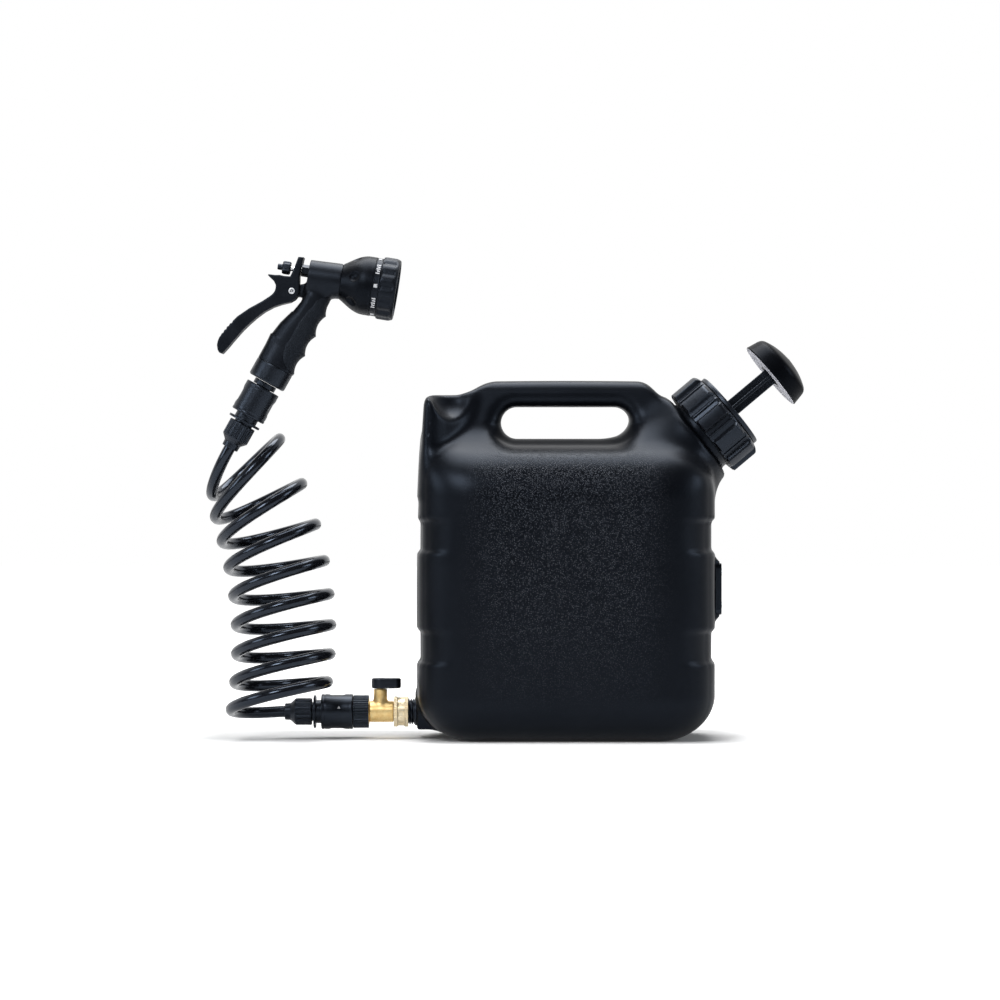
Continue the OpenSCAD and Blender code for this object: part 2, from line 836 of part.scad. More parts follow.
module hose_nut() {
    color(black) difference() {
        union() {
            knurled(nut_r, 0.9, nut_ribs, hose_nut_z, hose_nut_z + hose_nut_len);
            translate([0, 0, hose_nut_z + hose_nut_len]) cylinder(r1 = nut_r - 1.2, r2 = cone_r, h = cone_len);
        }
        rod(core_thread + seat, hose_nut_z - 1, hose_nut_z + 9.5);
        rod(hose_r + seat, hose_nut_z, cone_end + 1);
    }
}
module tap_adaptor() {
    color(black) at_outlet() difference() {
        union() {
            knurled(adaptor_r, 0.9, adaptor_ribs, body_end + fit, mouth_s);
            translate([0, 0, mouth_s]) nipple(-1);
        }
        rod(thread_r + fit, body_end, web_s);
        rod(water_r, web_s - 1, mouth_s + nipple_len + 1);
    }
}
module adaptor_washer() {
    from = thread_end + seat;
    color(rubber) at_outlet() tube(thread_r - seat, water_r + 0.5, from, from + washer_t);
}
module lower_core() at_lower() connector_core();
module lower_jaws() at_lower() connector_jaws();
module lower_o_ring() at_lower() connector_o_ring();
module lower_sleeve() at_lower() connector_sleeve();
module lower_spring() at_lower() connector_spring();
module lower_hose_nut() at_lower() hose_nut();
module upper_core() at_upper() connector_core();
module upper_jaws() at_upper() connector_jaws();
module upper_o_ring() at_upper() connector_o_ring();
module upper_sleeve() at_upper() connector_sleeve();
module upper_spring() at_upper() connector_spring();
module upper_hose_nut() at_upper() hose_nut();
module coil_hose() {
    color(black) sweep(hose_path, hose_r, hose_sides);
}

// Spray gun: nipple, collar and moulded body
module gun_nipple() {
    color(black) difference() {
        union() {
            at_upper() nipple(-1);
            at_grip() rod(tail_r - 1, 0.6 - grip_gap, -seat);
            at_grip() rod(nipple_thread, -1, nipple_in);
        }
        at_upper() rod(water_r, -grip_gap - nipple_in - 1, nipple_len + 1);
    }
}
module gun_collar() {
    edge = 1.5;
    color(black) at_grip() difference() {
        union() {
            rod(collar_r, edge, collar_h - seat);
            cylinder(r1 = collar_r - edge, r2 = collar_r, h = edge);
        }
        rod(tail_r + seat, -1, collar_h + 1);
    }
}
function grip_rear(z) = lookup(z, [[collar_h, 18], [45, 20.5], [76, 13.5], [105, 11], [grip_top, 8]]);
function finger(z) = finger_depth * cos(360 * (z - finger_first) / finger_pitch);
function grip_fore(z) = (grip_front + finger(z)) * lookup(z, [[100, 1], [grip_top, 0.7]]);
function grip_side(z) = grip_half * lookup(z, [[collar_h, 1.12], [38, 1], [96, 0.95], [grip_top, 0.75]]);
function grip_point(z, t, grow) =
    let (c = cos(t), s = sin(t), q = 2 / grip_power) [
        power(c, q) * ((c > 0 ? grip_fore(z) : grip_rear(z)) + grow),
        power(s, q) * (grip_side(z) + grow),
        z
    ];
module grip_skin() {
    rise = (grip_top - collar_h) / grip_rows;
    loft([for (j = [0 : grip_rows]) [for (i = [0 : grip_sides - 1])
        grip_point(collar_h + rise * j, 360 * i / grip_sides, 0)]]);
}
module gun_body() {
    color(dark) difference() {
        union() {
            at_grip() grip_skin();
            at_grip() rod(tail_r, seat, collar_h + 4);
            at_head() cylinder(r1 = gun_r, r2 = gun_r + barrel_flare, h = gun_len);
            at_barrel() hull() {
                translate([pivot[0], 0, pivot[1]]) cross_rod(ear_r, ear_w, $fn = hull_fn);
                translate([ear_root[0], 0, ear_root[1]]) cross_rod(ear_r + 1.5, ear_w, $fn = hull_fn);
            }
        }
        at_grip() rod(nipple_thread + seat, -1, nipple_in + seat);
        at_grip() rod(water_r, 0, grip_top);
        at_barrel() rod(gland_r - 1, -1, chamber_back + 1);
        at_barrel() rod(gun_bore, chamber_back, gun_len + 1);
        at_barrel() translate([pivot[0], 0, pivot[1]]) cross_rod(pivot_r + 0.05, 2 * ear_w);
    }
}
function pad_grid(grow) = [
    for (j = [0 : pad_rows])
        let (z = pad_low + (pad_high - pad_low) * j / pad_rows, edge = lookup(z, pad_edge))
        [for (i = [0 : pad_cols]) grip_point(z, edge * (2 * i / pad_cols - 1), grow)]
];
module grip_pads() {
    color(rubber) at_grip() patch(pad_grid(pad_proud), pad_grid(pad_seat));
}

// Spray gun: trigger, stem and spring
function arm_place(a) = pivot + ([a[0], a[1]] - pivot) * trigger_reach / arm_reach;
module trigger() {
    slot_half = stem_r + 0.6;
    slot_end = 7;
    color(dark) at_barrel() difference() {
        rotate([90, 0, 0]) linear_extrude(trigger_w, center = true) {
            polygon(trigger_head);
            for (i = [1 : len(trigger_arm) - 1])
                hull() for (a = [trigger_arm[i - 1], trigger_arm[i]])
                    translate(arm_place(a)) circle(r = a[2], $fn = hull_fn);
        }
        translate([pivot[0], 0, pivot[1]]) cross_rod(pivot_r + 0.07, 2 * trigger_w);
        translate([pivot[0], 0, pivot[1]]) cross_rod(ear_r + 1, ear_w + 4 * seat);
        translate([6, -ear_w / 2 - 2 * seat, pivot[1]]) cube([40, ear_w + 4 * seat, 40]);
        translate([slot_end - 40, -slot_half, -60]) cube([40, 2 * slot_half, 80]);
    }
}
module trigger_pin() {
    head_t = 0.9;
    color(steel) at_barrel() translate([pivot[0], 0, pivot[1]]) {
        cross_rod(pivot_r, trigger_w + 1);
        for (side = [-1, 1])
            translate([0, side * (trigger_w / 2 + fit + head_t / 2), 0]) cross_rod(pivot_head, head_t);
    }
}
module gland_nut() {
    color(black) at_barrel() difference() {
        union() {
            translate([0, 0, -gland_len]) cylinder(r = gland_r, h = gland_len - seat, $fn = 6);
            rod(gland_r - 1 - seat, -1, gland_in);
        }
        rod(stem_r + 0.08, -gland_len - 1, gland_in + 1);
    }
}
module gun_stem() {
    color(steel) at_barrel() {
        rod(stem_r, stem_back, plunger_s - 1);
        rod(gun_bore - 1, plunger_s - plunger_t, plunger_s);
    }
}
module stem_seal() {
    color(rubber) at_barrel() rod(gun_bore - 1.4, plunger_s + seat, plunger_s + seal_t);
}
module gun_spring() {
    color(steel) at_barrel() spring((gun_bore + stem_r) / 2, 0.6, spring_from, spring_to, 5);
}
module flow_nut() {
    color(black) at_barrel() difference() {
        knurled(flow_r, 0.6, 16, flow_front - flow_len, flow_front);
        rod(stem_r + 0.08, flow_front - flow_len - 1, flow_front + 1);
    }
}

// Spray gun: flared head, pattern band and turning dial
bell_start = gun_r + barrel_flare + seat;
function bell_swell(u) = pow(sin(90 * min(1, u / bell_full)), bell_power);
function bell_at(u) = bell_start + (bell_r - bell_start) * bell_swell(u);
module head_shell() {
    steps = 14;
    neck = 0.28;
    outer = [for (i = [0 : steps]) [bell_at(i / steps), bell_from + bell_len * i / steps]];
    inner = [
        for (i = [0 : steps])
            let (u = 1 - (1 - neck) * i / steps)
            [bell_at(u) - head_wall, bell_from + bell_len * u]
    ];
    dimple = [bell_at(dimple_at) + dimple_r - dimple_depth, 0, bell_from + bell_len * dimple_at - 2];
    color(dark) difference() {
        at_head() rotate_extrude() polygon(concat(
            [[0, bell_from]],
            outer,
            [[spigot_r, bell_to], [spigot_r, spigot_to], [spigot_r - head_wall, spigot_to]],
            inner,
            [[0, bell_from + bell_len * neck]]
        ));
        at_head() for (i = [0 : dimples - 1])
            rotate([0, 0, 360 * i / dimples + dimple_turn]) translate(dimple) sphere(r = dimple_r);
        at_barrel() rod(water_r, bell_from - 1, bell_to);
    }
}
module pattern_band() {
    color(dark) at_head() tube(bell_r + 0.3, spigot_r + seat, bell_to + seat, band_to);
}
module dial_ring() {
    color(rubber) at_head() difference() {
        union() {
            knurled(dial_r, 1.3, dial_grips, dial_from, dial_to - 3);
            translate([0, 0, dial_to - 3]) cylinder(r1 = dial_r - 1.3, r2 = dial_r - 3, h = 3);
        }
        rod(dial_bore, dial_from - 1, lip_from);
        translate([0, 0, lip_from - 0.5])
            cylinder(r1 = dial_bore - 2.5, r2 = dial_bore - 1, h = dial_to - lip_from + 1);
    }
}
module spray_face() {
    color(black) at_head() difference() {
        rod(dial_bore - seat, face_from, face_from + face_t);
        for (ring = [[1, 0, 2], [8, 9, 1], [14, 18, 1]], i = [0 : ring[0] - 1])
            rotate([0, 0, 360 * i / ring[0]])
                translate([ring[1], 0, face_from - 1]) cylinder(r = ring[2], h = face_t + 2);
    }
}

// Hand pump
module screw_cap() {
    lug_w = 13;
    rib_w = 1.8;
    edge = 3;
    step = 360 / cap_lugs;
    color(black) at_pump() difference() {
        intersection() {
            linear_extrude(cap_h) union() {
                circle(r = cap_r);
                for (i = [0 : cap_lugs - 1]) rotate(step * i) {
                    translate([cap_r - 6, -lug_w / 2]) square([6 + lug_t, lug_w]);
                    rotate(step / 2) translate([cap_r - 3, -rib_w / 2]) square([3 + lug_t / 3, rib_w]);
                }
            }
            union() {
                rod(cap_r + lug_t, -1, cap_h - edge);
                translate([0, 0, cap_h - edge])
                    cylinder(r1 = cap_r + lug_t, r2 = cap_r + lug_t - edge, h = edge);
            }
        }
        rod(cap_bore, -1, cap_under);
        rod(cap_hole, cap_under - 1, cap_h + 1);
    }
}
module cap_gasket() {
    color(rubber) at_pump() tube(neck_r - 0.5, neck_bore + 0.5, neck_top, flange_s - seat);
}
module pump_flange() {
    color(black) at_pump() difference() {
        union() {
            rod(neck_r, flange_s, flange_s + flange_t);
            rod(cap_hole - fit, flange_s + 1, cover_s - seat);
        }
        rod(barrel_bore, flange_s - 1, cover_s + 1);
    }
}
module cross_shape(grow) {
    for (a = [0, 90]) rotate(a) square([rod_w + 2 * grow, rod_web + 2 * grow], center = true);
}
module pump_cover() {
    edge = 1;
    color(dark) at_pump() difference() {
        union() {
            rod(cover_r, cover_s, cover_top - edge);
            translate([0, 0, cover_top - edge]) cylinder(r1 = cover_r, r2 = cover_r - edge, h = edge);
        }
        translate([0, 0, cover_s - 1]) linear_extrude(cover_t + 2) cross_shape(fit);
    }
}
module pump_barrel() {
    color(white) at_pump() tube(barrel_r, barrel_bore, barrel_low, flange_s - seat);
}
module barrel_foot() {
    color(black) at_pump() difference() {
        union() {
            rod(barrel_r, barrel_low - foot_t, barrel_low - seat);
            rod(barrel_bore - seat, barrel_low - 1, barrel_low + foot_t);
        }
        rod(foot_hole, barrel_low - foot_t - 1, barrel_low + foot_t + 1);
        for (a = [0 : 90 : 270])
            rotate([0, 0, a])
                translate([foot_hole + 4, 0, barrel_low - foot_t - 1]) cylinder(r = 1.8, h = 2 * foot_t + 2);
    }
}
module check_valve() {
    flap_t = 1.6;
    color(rubber) at_pump() {
        rod(foot_hole + 8, barrel_low - foot_t - flap_t - seat, barrel_low - foot_t - seat);
        rod(foot_hole - seat, barrel_low - foot_t - 1, barrel_low + foot_t);
    }
}
module pump_rod() {
    color(black) at_pump() difference() {
        union() {
            translate([0, 0, piston_s + piston_h]) linear_extrude(rod_top - piston_s - piston_h) cross_shape(0);
            rod(3, piston_s + 2, piston_s + piston_h + 1);
        }
        translate([0, 0, knob_s + hub_len / 2]) cross_rod(pin_r + 0.05, 2 * rod_w);
    }
}
knob_dome = knob_h - knob_side;
recess_r = hub_r + 9;
function dome_r() = let (a = knob_r - knob_taper) (a * a + knob_dome * knob_dome) / (2 * knob_dome);
module pump_knob() {
    steps = 8;
    top_r = knob_r - knob_taper;
    full = asin(top_r / dome_r());
    dome = [for (i = [0 : steps]) let (a = full * (1 - i / steps)) [
        dome_r() * sin(a),
        knob_s + knob_h - dome_r() * (1 - cos(a))
    ]];
    color(black) at_pump() difference() {
        rotate_extrude() polygon(concat([[0, knob_s], [knob_r - 2, knob_s], [knob_r, knob_s + 2]], dome));
        tube(recess_r, hub_r, knob_s - 1, knob_s + hub_len - 3);
        translate([0, 0, knob_s - 1]) linear_extrude(rod_top - knob_s + 1 + seat) cross_shape(seat);
        translate([0, 0, knob_s + hub_len / 2]) cross_rod(pin_r + 0.05, 2 * hub_r + 4);
    }
}
module knob_pin() {
    color(steel) at_pump() translate([0, 0, knob_s + hub_len / 2]) cross_rod(pin_r, 2 * hub_r + 2);
}
module piston() {
    seal_w = 3.4;
    middle = piston_s + piston_h / 2;
    color(black) at_pump() difference() {
        rod(barrel_bore - fit, piston_s, piston_s + piston_h);
        tube(barrel_r, barrel_bore - seal_w, middle - seal_w / 2, middle + seal_w / 2);
        rod(3 + 0.05, piston_s - 1, piston_s + piston_h + 1);
    }
}
module piston_seal() {
    ring = 1.6;
    color(rubber) at_pump() rotate_extrude()
        translate([barrel_bore - ring - seat, piston_s + piston_h / 2]) circle(r = ring);
}

tank();
side_pad();
pad_screws();
outlet_stub();
swivel_nut();
swivel_washer();
valve_body();
valve_end();
ball_seats();
valve_ball();
valve_stem();
valve_lever();
lever_screw();
tap_adaptor();
adaptor_washer();
lower_core();
lower_jaws();
lower_o_ring();
lower_sleeve();
lower_spring();
lower_hose_nut();
coil_hose();
upper_hose_nut();
upper_core();
upper_jaws();
upper_o_ring();
upper_sleeve();
upper_spring();
gun_nipple();
gun_collar();
gun_body();
grip_pads();
trigger();
trigger_pin();
gland_nut();
gun_stem();
stem_seal();
gun_spring();
flow_nut();
head_shell();
pattern_band();
dial_ring();
spray_face();
screw_cap();
cap_gasket();
pump_flange();
pump_cover();
pump_barrel();
barrel_foot();
check_valve();
pump_rod();
pump_knob();
knob_pin();
piston();
piston_seal();
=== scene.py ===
# %% [markdown]
# # Camp shower pump
# A moulded can holds the water. A slanted hand pump puts it under pressure, and a brass ball valve
# lets it out through a coiled hose to a spray gun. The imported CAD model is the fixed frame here:
# each piece below is a finer skin for one of its nodes, in the same place and in metres.

# %% Load the frame
import json
import bmesh
import bpy
import numpy as np
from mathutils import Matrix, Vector

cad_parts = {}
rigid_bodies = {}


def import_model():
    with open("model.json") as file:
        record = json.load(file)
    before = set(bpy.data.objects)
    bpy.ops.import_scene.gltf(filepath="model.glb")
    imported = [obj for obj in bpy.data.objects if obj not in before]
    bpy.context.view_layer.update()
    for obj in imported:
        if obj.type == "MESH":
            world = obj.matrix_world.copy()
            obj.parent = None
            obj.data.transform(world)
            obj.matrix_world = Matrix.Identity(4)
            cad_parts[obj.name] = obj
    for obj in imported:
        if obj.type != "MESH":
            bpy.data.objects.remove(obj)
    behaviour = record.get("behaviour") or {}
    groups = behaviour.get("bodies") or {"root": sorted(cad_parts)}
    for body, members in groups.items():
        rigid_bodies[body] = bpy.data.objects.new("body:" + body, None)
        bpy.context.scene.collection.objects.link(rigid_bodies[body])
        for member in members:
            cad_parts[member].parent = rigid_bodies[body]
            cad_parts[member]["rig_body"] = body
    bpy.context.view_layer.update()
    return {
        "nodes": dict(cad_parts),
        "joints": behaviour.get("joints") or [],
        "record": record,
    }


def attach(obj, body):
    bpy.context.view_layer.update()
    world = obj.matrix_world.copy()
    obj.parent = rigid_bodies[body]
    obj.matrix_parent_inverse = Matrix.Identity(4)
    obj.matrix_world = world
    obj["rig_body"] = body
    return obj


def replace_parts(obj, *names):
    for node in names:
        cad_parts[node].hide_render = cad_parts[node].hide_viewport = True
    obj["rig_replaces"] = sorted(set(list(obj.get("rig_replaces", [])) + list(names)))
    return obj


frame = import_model()
MM = 0.001

# %% [markdown]
# ## Axes to build along
# Caps, nuts, sleeves and the gun's head are all round about an axis. The joints of the frame already
# say where those axes lie, so they are read from there, and a piece follows if the CAD model moves.

# %% Axes from the joints
JOINTS = {joint["name"]: joint for joint in frame["joints"]}


def unit(vector):
    """A vector divided by its length, or a whole array of them at once."""
    vector = np.asarray(vector, float)
    return vector / np.linalg.norm(vector, axis=-1, keepdims=True)


def axes_at(origin, along):
    """A starting point and three unit rows: side, depth and along.
    Depth is Y, and side is the cross product of depth and along, so the rows are right-handed."""
    along = unit(along)
    depth = np.array([0.0, 1.0, 0.0])
    return np.asarray(origin, float), np.stack([np.cross(depth, along), depth, along])


def axes_of(joint, like=None):
    """The axes that stand at a joint, along its own axis or that of another joint."""
    return axes_at(JOINTS[joint]["pos_m"], JOINTS[like or joint]["axis"])


def to_world(axes, local):
    """Points given as side, depth and along, placed: the start plus each share times its row."""
    origin, rows = axes
    return origin + np.asarray(local, float) @ rows


def to_local(axes, points):
    """Side, depth and along of points: what is left past the start, measured along each row."""
    origin, rows = axes
    return (np.asarray(points, float) - origin) @ rows.T


OUTLET = axes_of("swivel_nut_turn")
VALVE = axes_of("valve_turn")
GRIP = axes_of("gun_swivel")
HEAD = axes_of("dial_turn")
STEM = axes_of("flow_nut_turn", "dial_turn")
PUMP = axes_of("cap_turn")
PIN_AT = np.array(JOINTS["trigger_squeeze"]["pos_m"])
print("pump leans by", round(np.degrees(np.arccos(PUMP[1][2][2])), 1), "degrees")

# %% [markdown]
# ## Camera and light
# The photograph was taken from straight in front with a long lens, at two thirds of the tank's
# height. The ground is white, so the floor glows a little towards the camera and still takes a shadow.
# Soft lamps above, in front and at both sides shape the dark plastic, and the pale surroundings behind
# it give the thin light rims along its sides.

# %% Camera
CAMERA_AT = (-0.0655, -3.1, 0.238)
FRAME_WIDTH = 1.0
SENSOR_MM = 36


def add_object(name, data):
    """A new object in the scene, at the origin."""
    made = bpy.data.objects.new(name, data)
    bpy.context.scene.collection.objects.link(made)
    return made


camera_data = bpy.data.cameras.new("photo_camera")
camera_data.sensor_width = SENSOR_MM
camera_data.lens = -CAMERA_AT[1] * SENSOR_MM / FRAME_WIDTH
camera = add_object("photo_camera", camera_data)
camera.location = CAMERA_AT
camera.rotation_euler = (np.pi / 2, 0, 0)
bpy.context.scene.camera = camera
bpy.context.scene.view_settings.view_transform = "Standard"
print("lens:", round(camera_data.lens, 2), "mm")

# %% [markdown]
# ## Writing shaders as sums
# A node tree is a formula drawn as boxes. One small class wraps a socket, so that the formula can be
# written as Python: an operator on values adds a Math node, and one method adds any other node.


# %% Shader expressions
class Shade:
    """A socket in a node tree. Operators add Math nodes, and node() adds any other kind."""

    def __init__(self, tree, socket=None):
        self.tree = tree
        self.socket = socket

    def node(self, kind, settings=None, values=None, out=0):
        """A node of that kind: its settings first, then its inputs, and the output asked for."""
        made = self.tree.nodes.new(kind)
        for key, value in (settings or {}).items():
            setattr(made, key, value)
        for key, value in (values or {}).items():
            if isinstance(value, Shade):
                self.tree.links.new(value.socket, made.inputs[key])
            else:
                made.inputs[key].default_value = value
        return Shade(self.tree, made.outputs[out] if made.outputs else None)

    def math(self, operation, other=0.0, third=0.0):
        """The Math node of that operation on this value and up to two more."""
        values = {0: self, 1: other, 2: third}
        return self.node("ShaderNodeMath", {"operation": operation}, values)

    def vector(self, operation, other=(0, 0, 0), out=0):
        """The Vector Math node of that operation on this vector and another."""
        settings = {"operation": operation}
        return self.node("ShaderNodeVectorMath", settings, {0: self, 1: other}, out)

    def __add__(self, other):
        return self.math("ADD", other)

    def __sub__(self, other):
        return self.math("SUBTRACT", other)

    def __mul__(self, other):
        return self.math("MULTIPLY", other)

    def __rsub__(self, other):
        return self.math("MULTIPLY_ADD", -1.0, other)

    __radd__ = __add__
    __rmul__ = __mul__

    def step(self, low, high):
        """A soft step: 0 below low, 1 above high, smooth between."""
        values = {"Value": self, "From Min": low, "From Max": high}
        return self.node("ShaderNodeMapRange", {"interpolation_type": "SMOOTHSTEP"}, values)

    def between(self, dark, light):
        """A colour between two, where this value says how far."""
        values = {"Factor": self, 6: dark, 7: light}
        return self.node("ShaderNodeMix", {"data_type": "RGBA"}, values, 2)

    def axis(self, letter):
        """One of the three parts of a vector."""
        return self.node("ShaderNodeSeparateXYZ", None, {0: self}, letter)


def clear_tree(owner):
    """The empty node tree of a material or a world, to write expressions in."""
    owner.use_nodes = True
    owner.node_tree.nodes.clear()
    return Shade(owner.node_tree)


# %% World and floor
UNDER_TANK = (0, 0.03, 0), (0.13, 0.06, 1)
UNDER_HOSE = (-0.22, 0.04, 0), (0.12, 0.04, 1)
WHITE = (1, 1, 1, 1)
PAPER = (0.8, 0.8, 0.8, 1)
FLOOR_MIRROR = 0.1


def pale_rays(shade):
    """1 for rays that look at things, and 1 for rays that mirror them or pass through them."""
    path = "ShaderNodeLightPath"
    seen = shade.node(path, out="Is Camera Ray")
    through = shade.node(path, out="Is Transmission Ray")
    return seen, shade.node(path, out="Is Glossy Ray").math("MAXIMUM", through)


def studio_world(ambient, front_glow):
    """White to the camera all round. Reflections find white behind the part and little in front."""
    world = bpy.data.worlds.new("studio")
    shade = clear_tree(world)
    seen, mirrored = pale_rays(shade)
    way = shade.node("ShaderNodeTexCoord", out="Generated")
    behind = way.axis("Y").step(-0.25, 0.55) * (1 - front_glow) + front_glow
    strength = seen.math("MAXIMUM", mirrored * behind + (1 - mirrored) * ambient)
    glow = shade.node("ShaderNodeBackground", None, {"Color": WHITE, "Strength": strength})
    glow.node("ShaderNodeOutputWorld", None, {"Surface": glow})
    bpy.context.scene.world = world


def away_from(place, middle, half):
    """Distance on the floor from a rectangle: the length of what |place - middle| has past the half
    sides."""
    past = place.vector("SUBTRACT", middle).vector("ABSOLUTE").vector("SUBTRACT", half)
    return past.vector("MAXIMUM").vector("LENGTH", out="Value")


def studio_floor(size, under, near, far):
    """A white plane that glows for rays that look at it: little under the tank and the hose's end, so
    that the contact shadow stays, and more outwards, so that the far edge melts into the white."""
    corners = np.array([[-1, -1, 0], [1, -1, 0], [1, 1, 0], [-1, 1, 0]]) * size / 2
    mesh = bpy.data.meshes.new("floor")
    mesh.from_pydata(corners.tolist(), [], [(0, 1, 2, 3)])
    floor = add_object("floor", mesh)
    material = bpy.data.materials.new("floor_white")
    mesh.materials.append(material)
    shade = clear_tree(material)
    seen, mirrored = pale_rays(shade)
    matt = shade.node("ShaderNodeBsdfDiffuse", None, {"Color": PAPER})
    place = shade.node("ShaderNodeTexCoord", out="Object")
    beside = away_from(place, *UNDER_TANK).math("MINIMUM", away_from(place, *UNDER_HOSE))
    lift = beside.step(0, 0.075) * (near - under) + beside.step(0.3, 1.4) * (far - near) + under
    strength = seen * lift + mirrored * FLOOR_MIRROR
    glow = shade.node("ShaderNodeEmission", None, {"Strength": strength})
    both = shade.node("ShaderNodeAddShader", None, {0: matt, 1: glow})
    both.node("ShaderNodeOutputMaterial", None, {"Surface": both})


def soft_lamp(name, place, aim, size, power, colour=(1, 1, 1)):
    """A square area lamp at a place, turned towards what it lights."""
    data = bpy.data.lights.new(name, "AREA")
    data.size, data.energy, data.color = size, power, colour
    lamp = add_object(name, data)
    lamp.location = place
    away = Vector(place) - Vector(aim)
    lamp.rotation_euler = away.to_track_quat("Z", "Y").to_euler()


COOL_LAMP = (0.9, 0.95, 1.0)
studio_world(ambient=0.14, front_glow=0.05)
studio_floor(size=16, under=0.02, near=0.6, far=1.0)
soft_lamp("top_lamp", (-0.15, 0.25, 1.9), (-0.05, 0, 0.2), 1.4, 38)
soft_lamp("front_lamp", (-0.9, -1.9, 1.6), (-0.1, 0, 0.25), 0.7, 24)
soft_lamp("side_lamp", (-2.0, -0.9, 0.9), (-0.1, 0, 0.25), 0.8, 11, COOL_LAMP)
soft_lamp("far_lamp", (1.9, -0.7, 0.9), (0.05, 0, 0.25), 0.8, 10, COOL_LAMP)

# %% [markdown]
# ## Finishes
# Nearly the whole part is black plastic, so what sets the pieces apart is gloss and grain. The tank
# is stippled over its broad faces and smooth at its edges, the hose is shiny, the grip pad is rubber,
# and the valve is brass. Each finish is a formula on the place of a point in the part's own frame.

# %% A maker of finishes
FINISHES = {}


def grain(place, scale, detail=2.0):
    """Soft noise with about that many grains in a metre."""
    values = {"Vector": place, "Scale": scale, "Detail": detail}
    return place.node("ShaderNodeTexNoise", None, values)


def pebbles(place, scale, answer):
    """Cells, about that many in a metre: how far the nearest cell's middle is, or its colour."""
    return place.node("ShaderNodeTexVoronoi", None, {"Vector": place, "Scale": scale}, answer)


def raised(height, distance):
    """The surface's direction after it is raised by height times distance."""
    values = {"Height": height, "Distance": distance, "Strength": 1}
    return height.node("ShaderNodeBump", None, values)


def finish(name, slot, fixed, paint, reads="Object"):
    """A material for one of the record's slots: fixed inputs, and inputs that paint works out."""
    material = bpy.data.materials.new(name)
    shade = clear_tree(material)
    place = shade.node("ShaderNodeTexCoord", out=reads)
    skin = shade.node("ShaderNodeBsdfPrincipled", None, {**fixed, **paint(place)})
    skin.node("ShaderNodeOutputMaterial", None, {"Surface": skin})
    FINISHES[name] = (material, slot)


# %% Plastics and rubber
STIPPLES = 800
DOME_R = 0.48
BEAD_PITCH = 0.024
KNOB_EDGE = 0.0892
KNOB_HUB_R = 0.013


def tank_paint(place):
    """Stippled on the broad faces and smooth at edges. A stipple is a dome in each cell of a random
    pattern: one minus the squared distance from the cell's middle over the dome's radius. Glints are
    painted: a random number of the cell says how far its dome is painted paler, more so higher up."""
    x, z = place.axis("X"), place.axis("Z")
    wide = 1 - x.math("ABSOLUTE").step(0.055, 0.115)
    tall = z.step(0.015, 0.06) * (1 - z.step(0.262, 0.3))
    panel = wide * tall
    clouds = grain(place, 16)
    away = pebbles(place, STIPPLES, "Distance") * (1 / DOME_R)
    domes = (1 - away * away).math("MAXIMUM", 0.0)
    height = domes * panel * 0.28 + grain(place, 1500) * 0.02 + grain(place, 90) * 0.06
    number = pebbles(place, STIPPLES, "Color").axis("X").step(0.0, 1.0)
    # Painted highlight: glints of the lamp on the dome tops, paler in the colour and stronger upwards.
    painted_glints = number * domes * panel * z.step(-0.02, 0.2)
    plain = clouds.step(0.3, 0.7).between((0.0018, 0.0022, 0.0034, 1), (0.0028, 0.0033, 0.0048, 1))
    return {
        "Base Color": painted_glints.between(plain, (0.075, 0.079, 0.09, 1)),
        "Roughness": 0.34 - panel * 0.07 + clouds * 0.06,
        "Normal": raised(height, MM),
    }


def clouded(dark, light, rough, dull=0.1, size=60, detail=2.0, low=0.3, fine=1400, high=0.00006):
    """Even plastic or metal: clouds in the colour and the gloss, and a grain too fine to see."""
    def paint(place):
        clouds = grain(place, size, detail)
        return {
            "Base Color": clouds.step(low, 0.7).between((*dark, 1), (*light, 1)),
            "Roughness": clouds * dull + rough,
            "Normal": raised(grain(place, fine), high),
        }
    return paint


def rubber_paint(place):
    """Soft rubber with rows of small beads: the sine of across plus up times the sine of across less
    up, on a map of the pad where 1 is 100 mm."""
    across, up = place.axis("X"), place.axis("Y")
    pitch = 2 * np.pi / BEAD_PITCH
    rising, falling = ((across + up) * pitch).math("SINE"), ((across - up) * pitch).math("SINE")
    beads = (rising * falling).step(0.05, 0.7)
    return {
        "Base Color": beads.between((0.0025, 0.0027, 0.0034, 1), (0.009, 0.0095, 0.011, 1)),
        "Roughness": 0.66 - beads * 0.16,
        "Normal": raised(beads, 0.0006),
    }


def knob_paint(place):
    """A dark dome over an underside that is painted pale past the hub, as a painted reflection. The
    place along the pump's axis is a dot product, and the distance from the axis is the root of the
    squared distance from its start less the square along."""
    start, axis = PUMP[0], PUMP[1][2]
    along = place.vector("DOT_PRODUCT", axis, "Value") - float(start @ axis)
    far = place.vector("DISTANCE", start, "Value")
    about = (far * far - along * along).math("SQRT")
    under = 1 - along.step(KNOB_EDGE - 0.0001, KNOB_EDGE + 0.0001)
    # Painted reflection: the underside past the hub is given a pale colour.
    painted_reflection = under * about.step(KNOB_HUB_R - 0.0005, KNOB_HUB_R + 0.0005)
    return {
        "Base Color": painted_reflection.between((0.002, 0.0022, 0.003, 1), (0.8, 0.8, 0.87, 1)),
        "Roughness": 0.32 + grain(place, 60) * 0.08,
    }


def hose_paint(place):
    """Shiny drawn tube: faint long clouds and a very light waviness."""
    clouds = grain(place, 25)
    return {
        "Base Color": clouds.between((0.004, 0.0043, 0.0058, 1), (0.008, 0.0084, 0.0105, 1)),
        "Roughness": 0.13 + clouds * 0.1,
        "Normal": raised(grain(place, 140), 0.00012),
    }


def cool(level):
    """The fixed inputs of a plastic that mirrors a little blue, at a level of its own."""
    return {"IOR": 1.48, "Specular Tint": (0.62, 0.76, 1.0, 1), "Specular IOR Level": level}


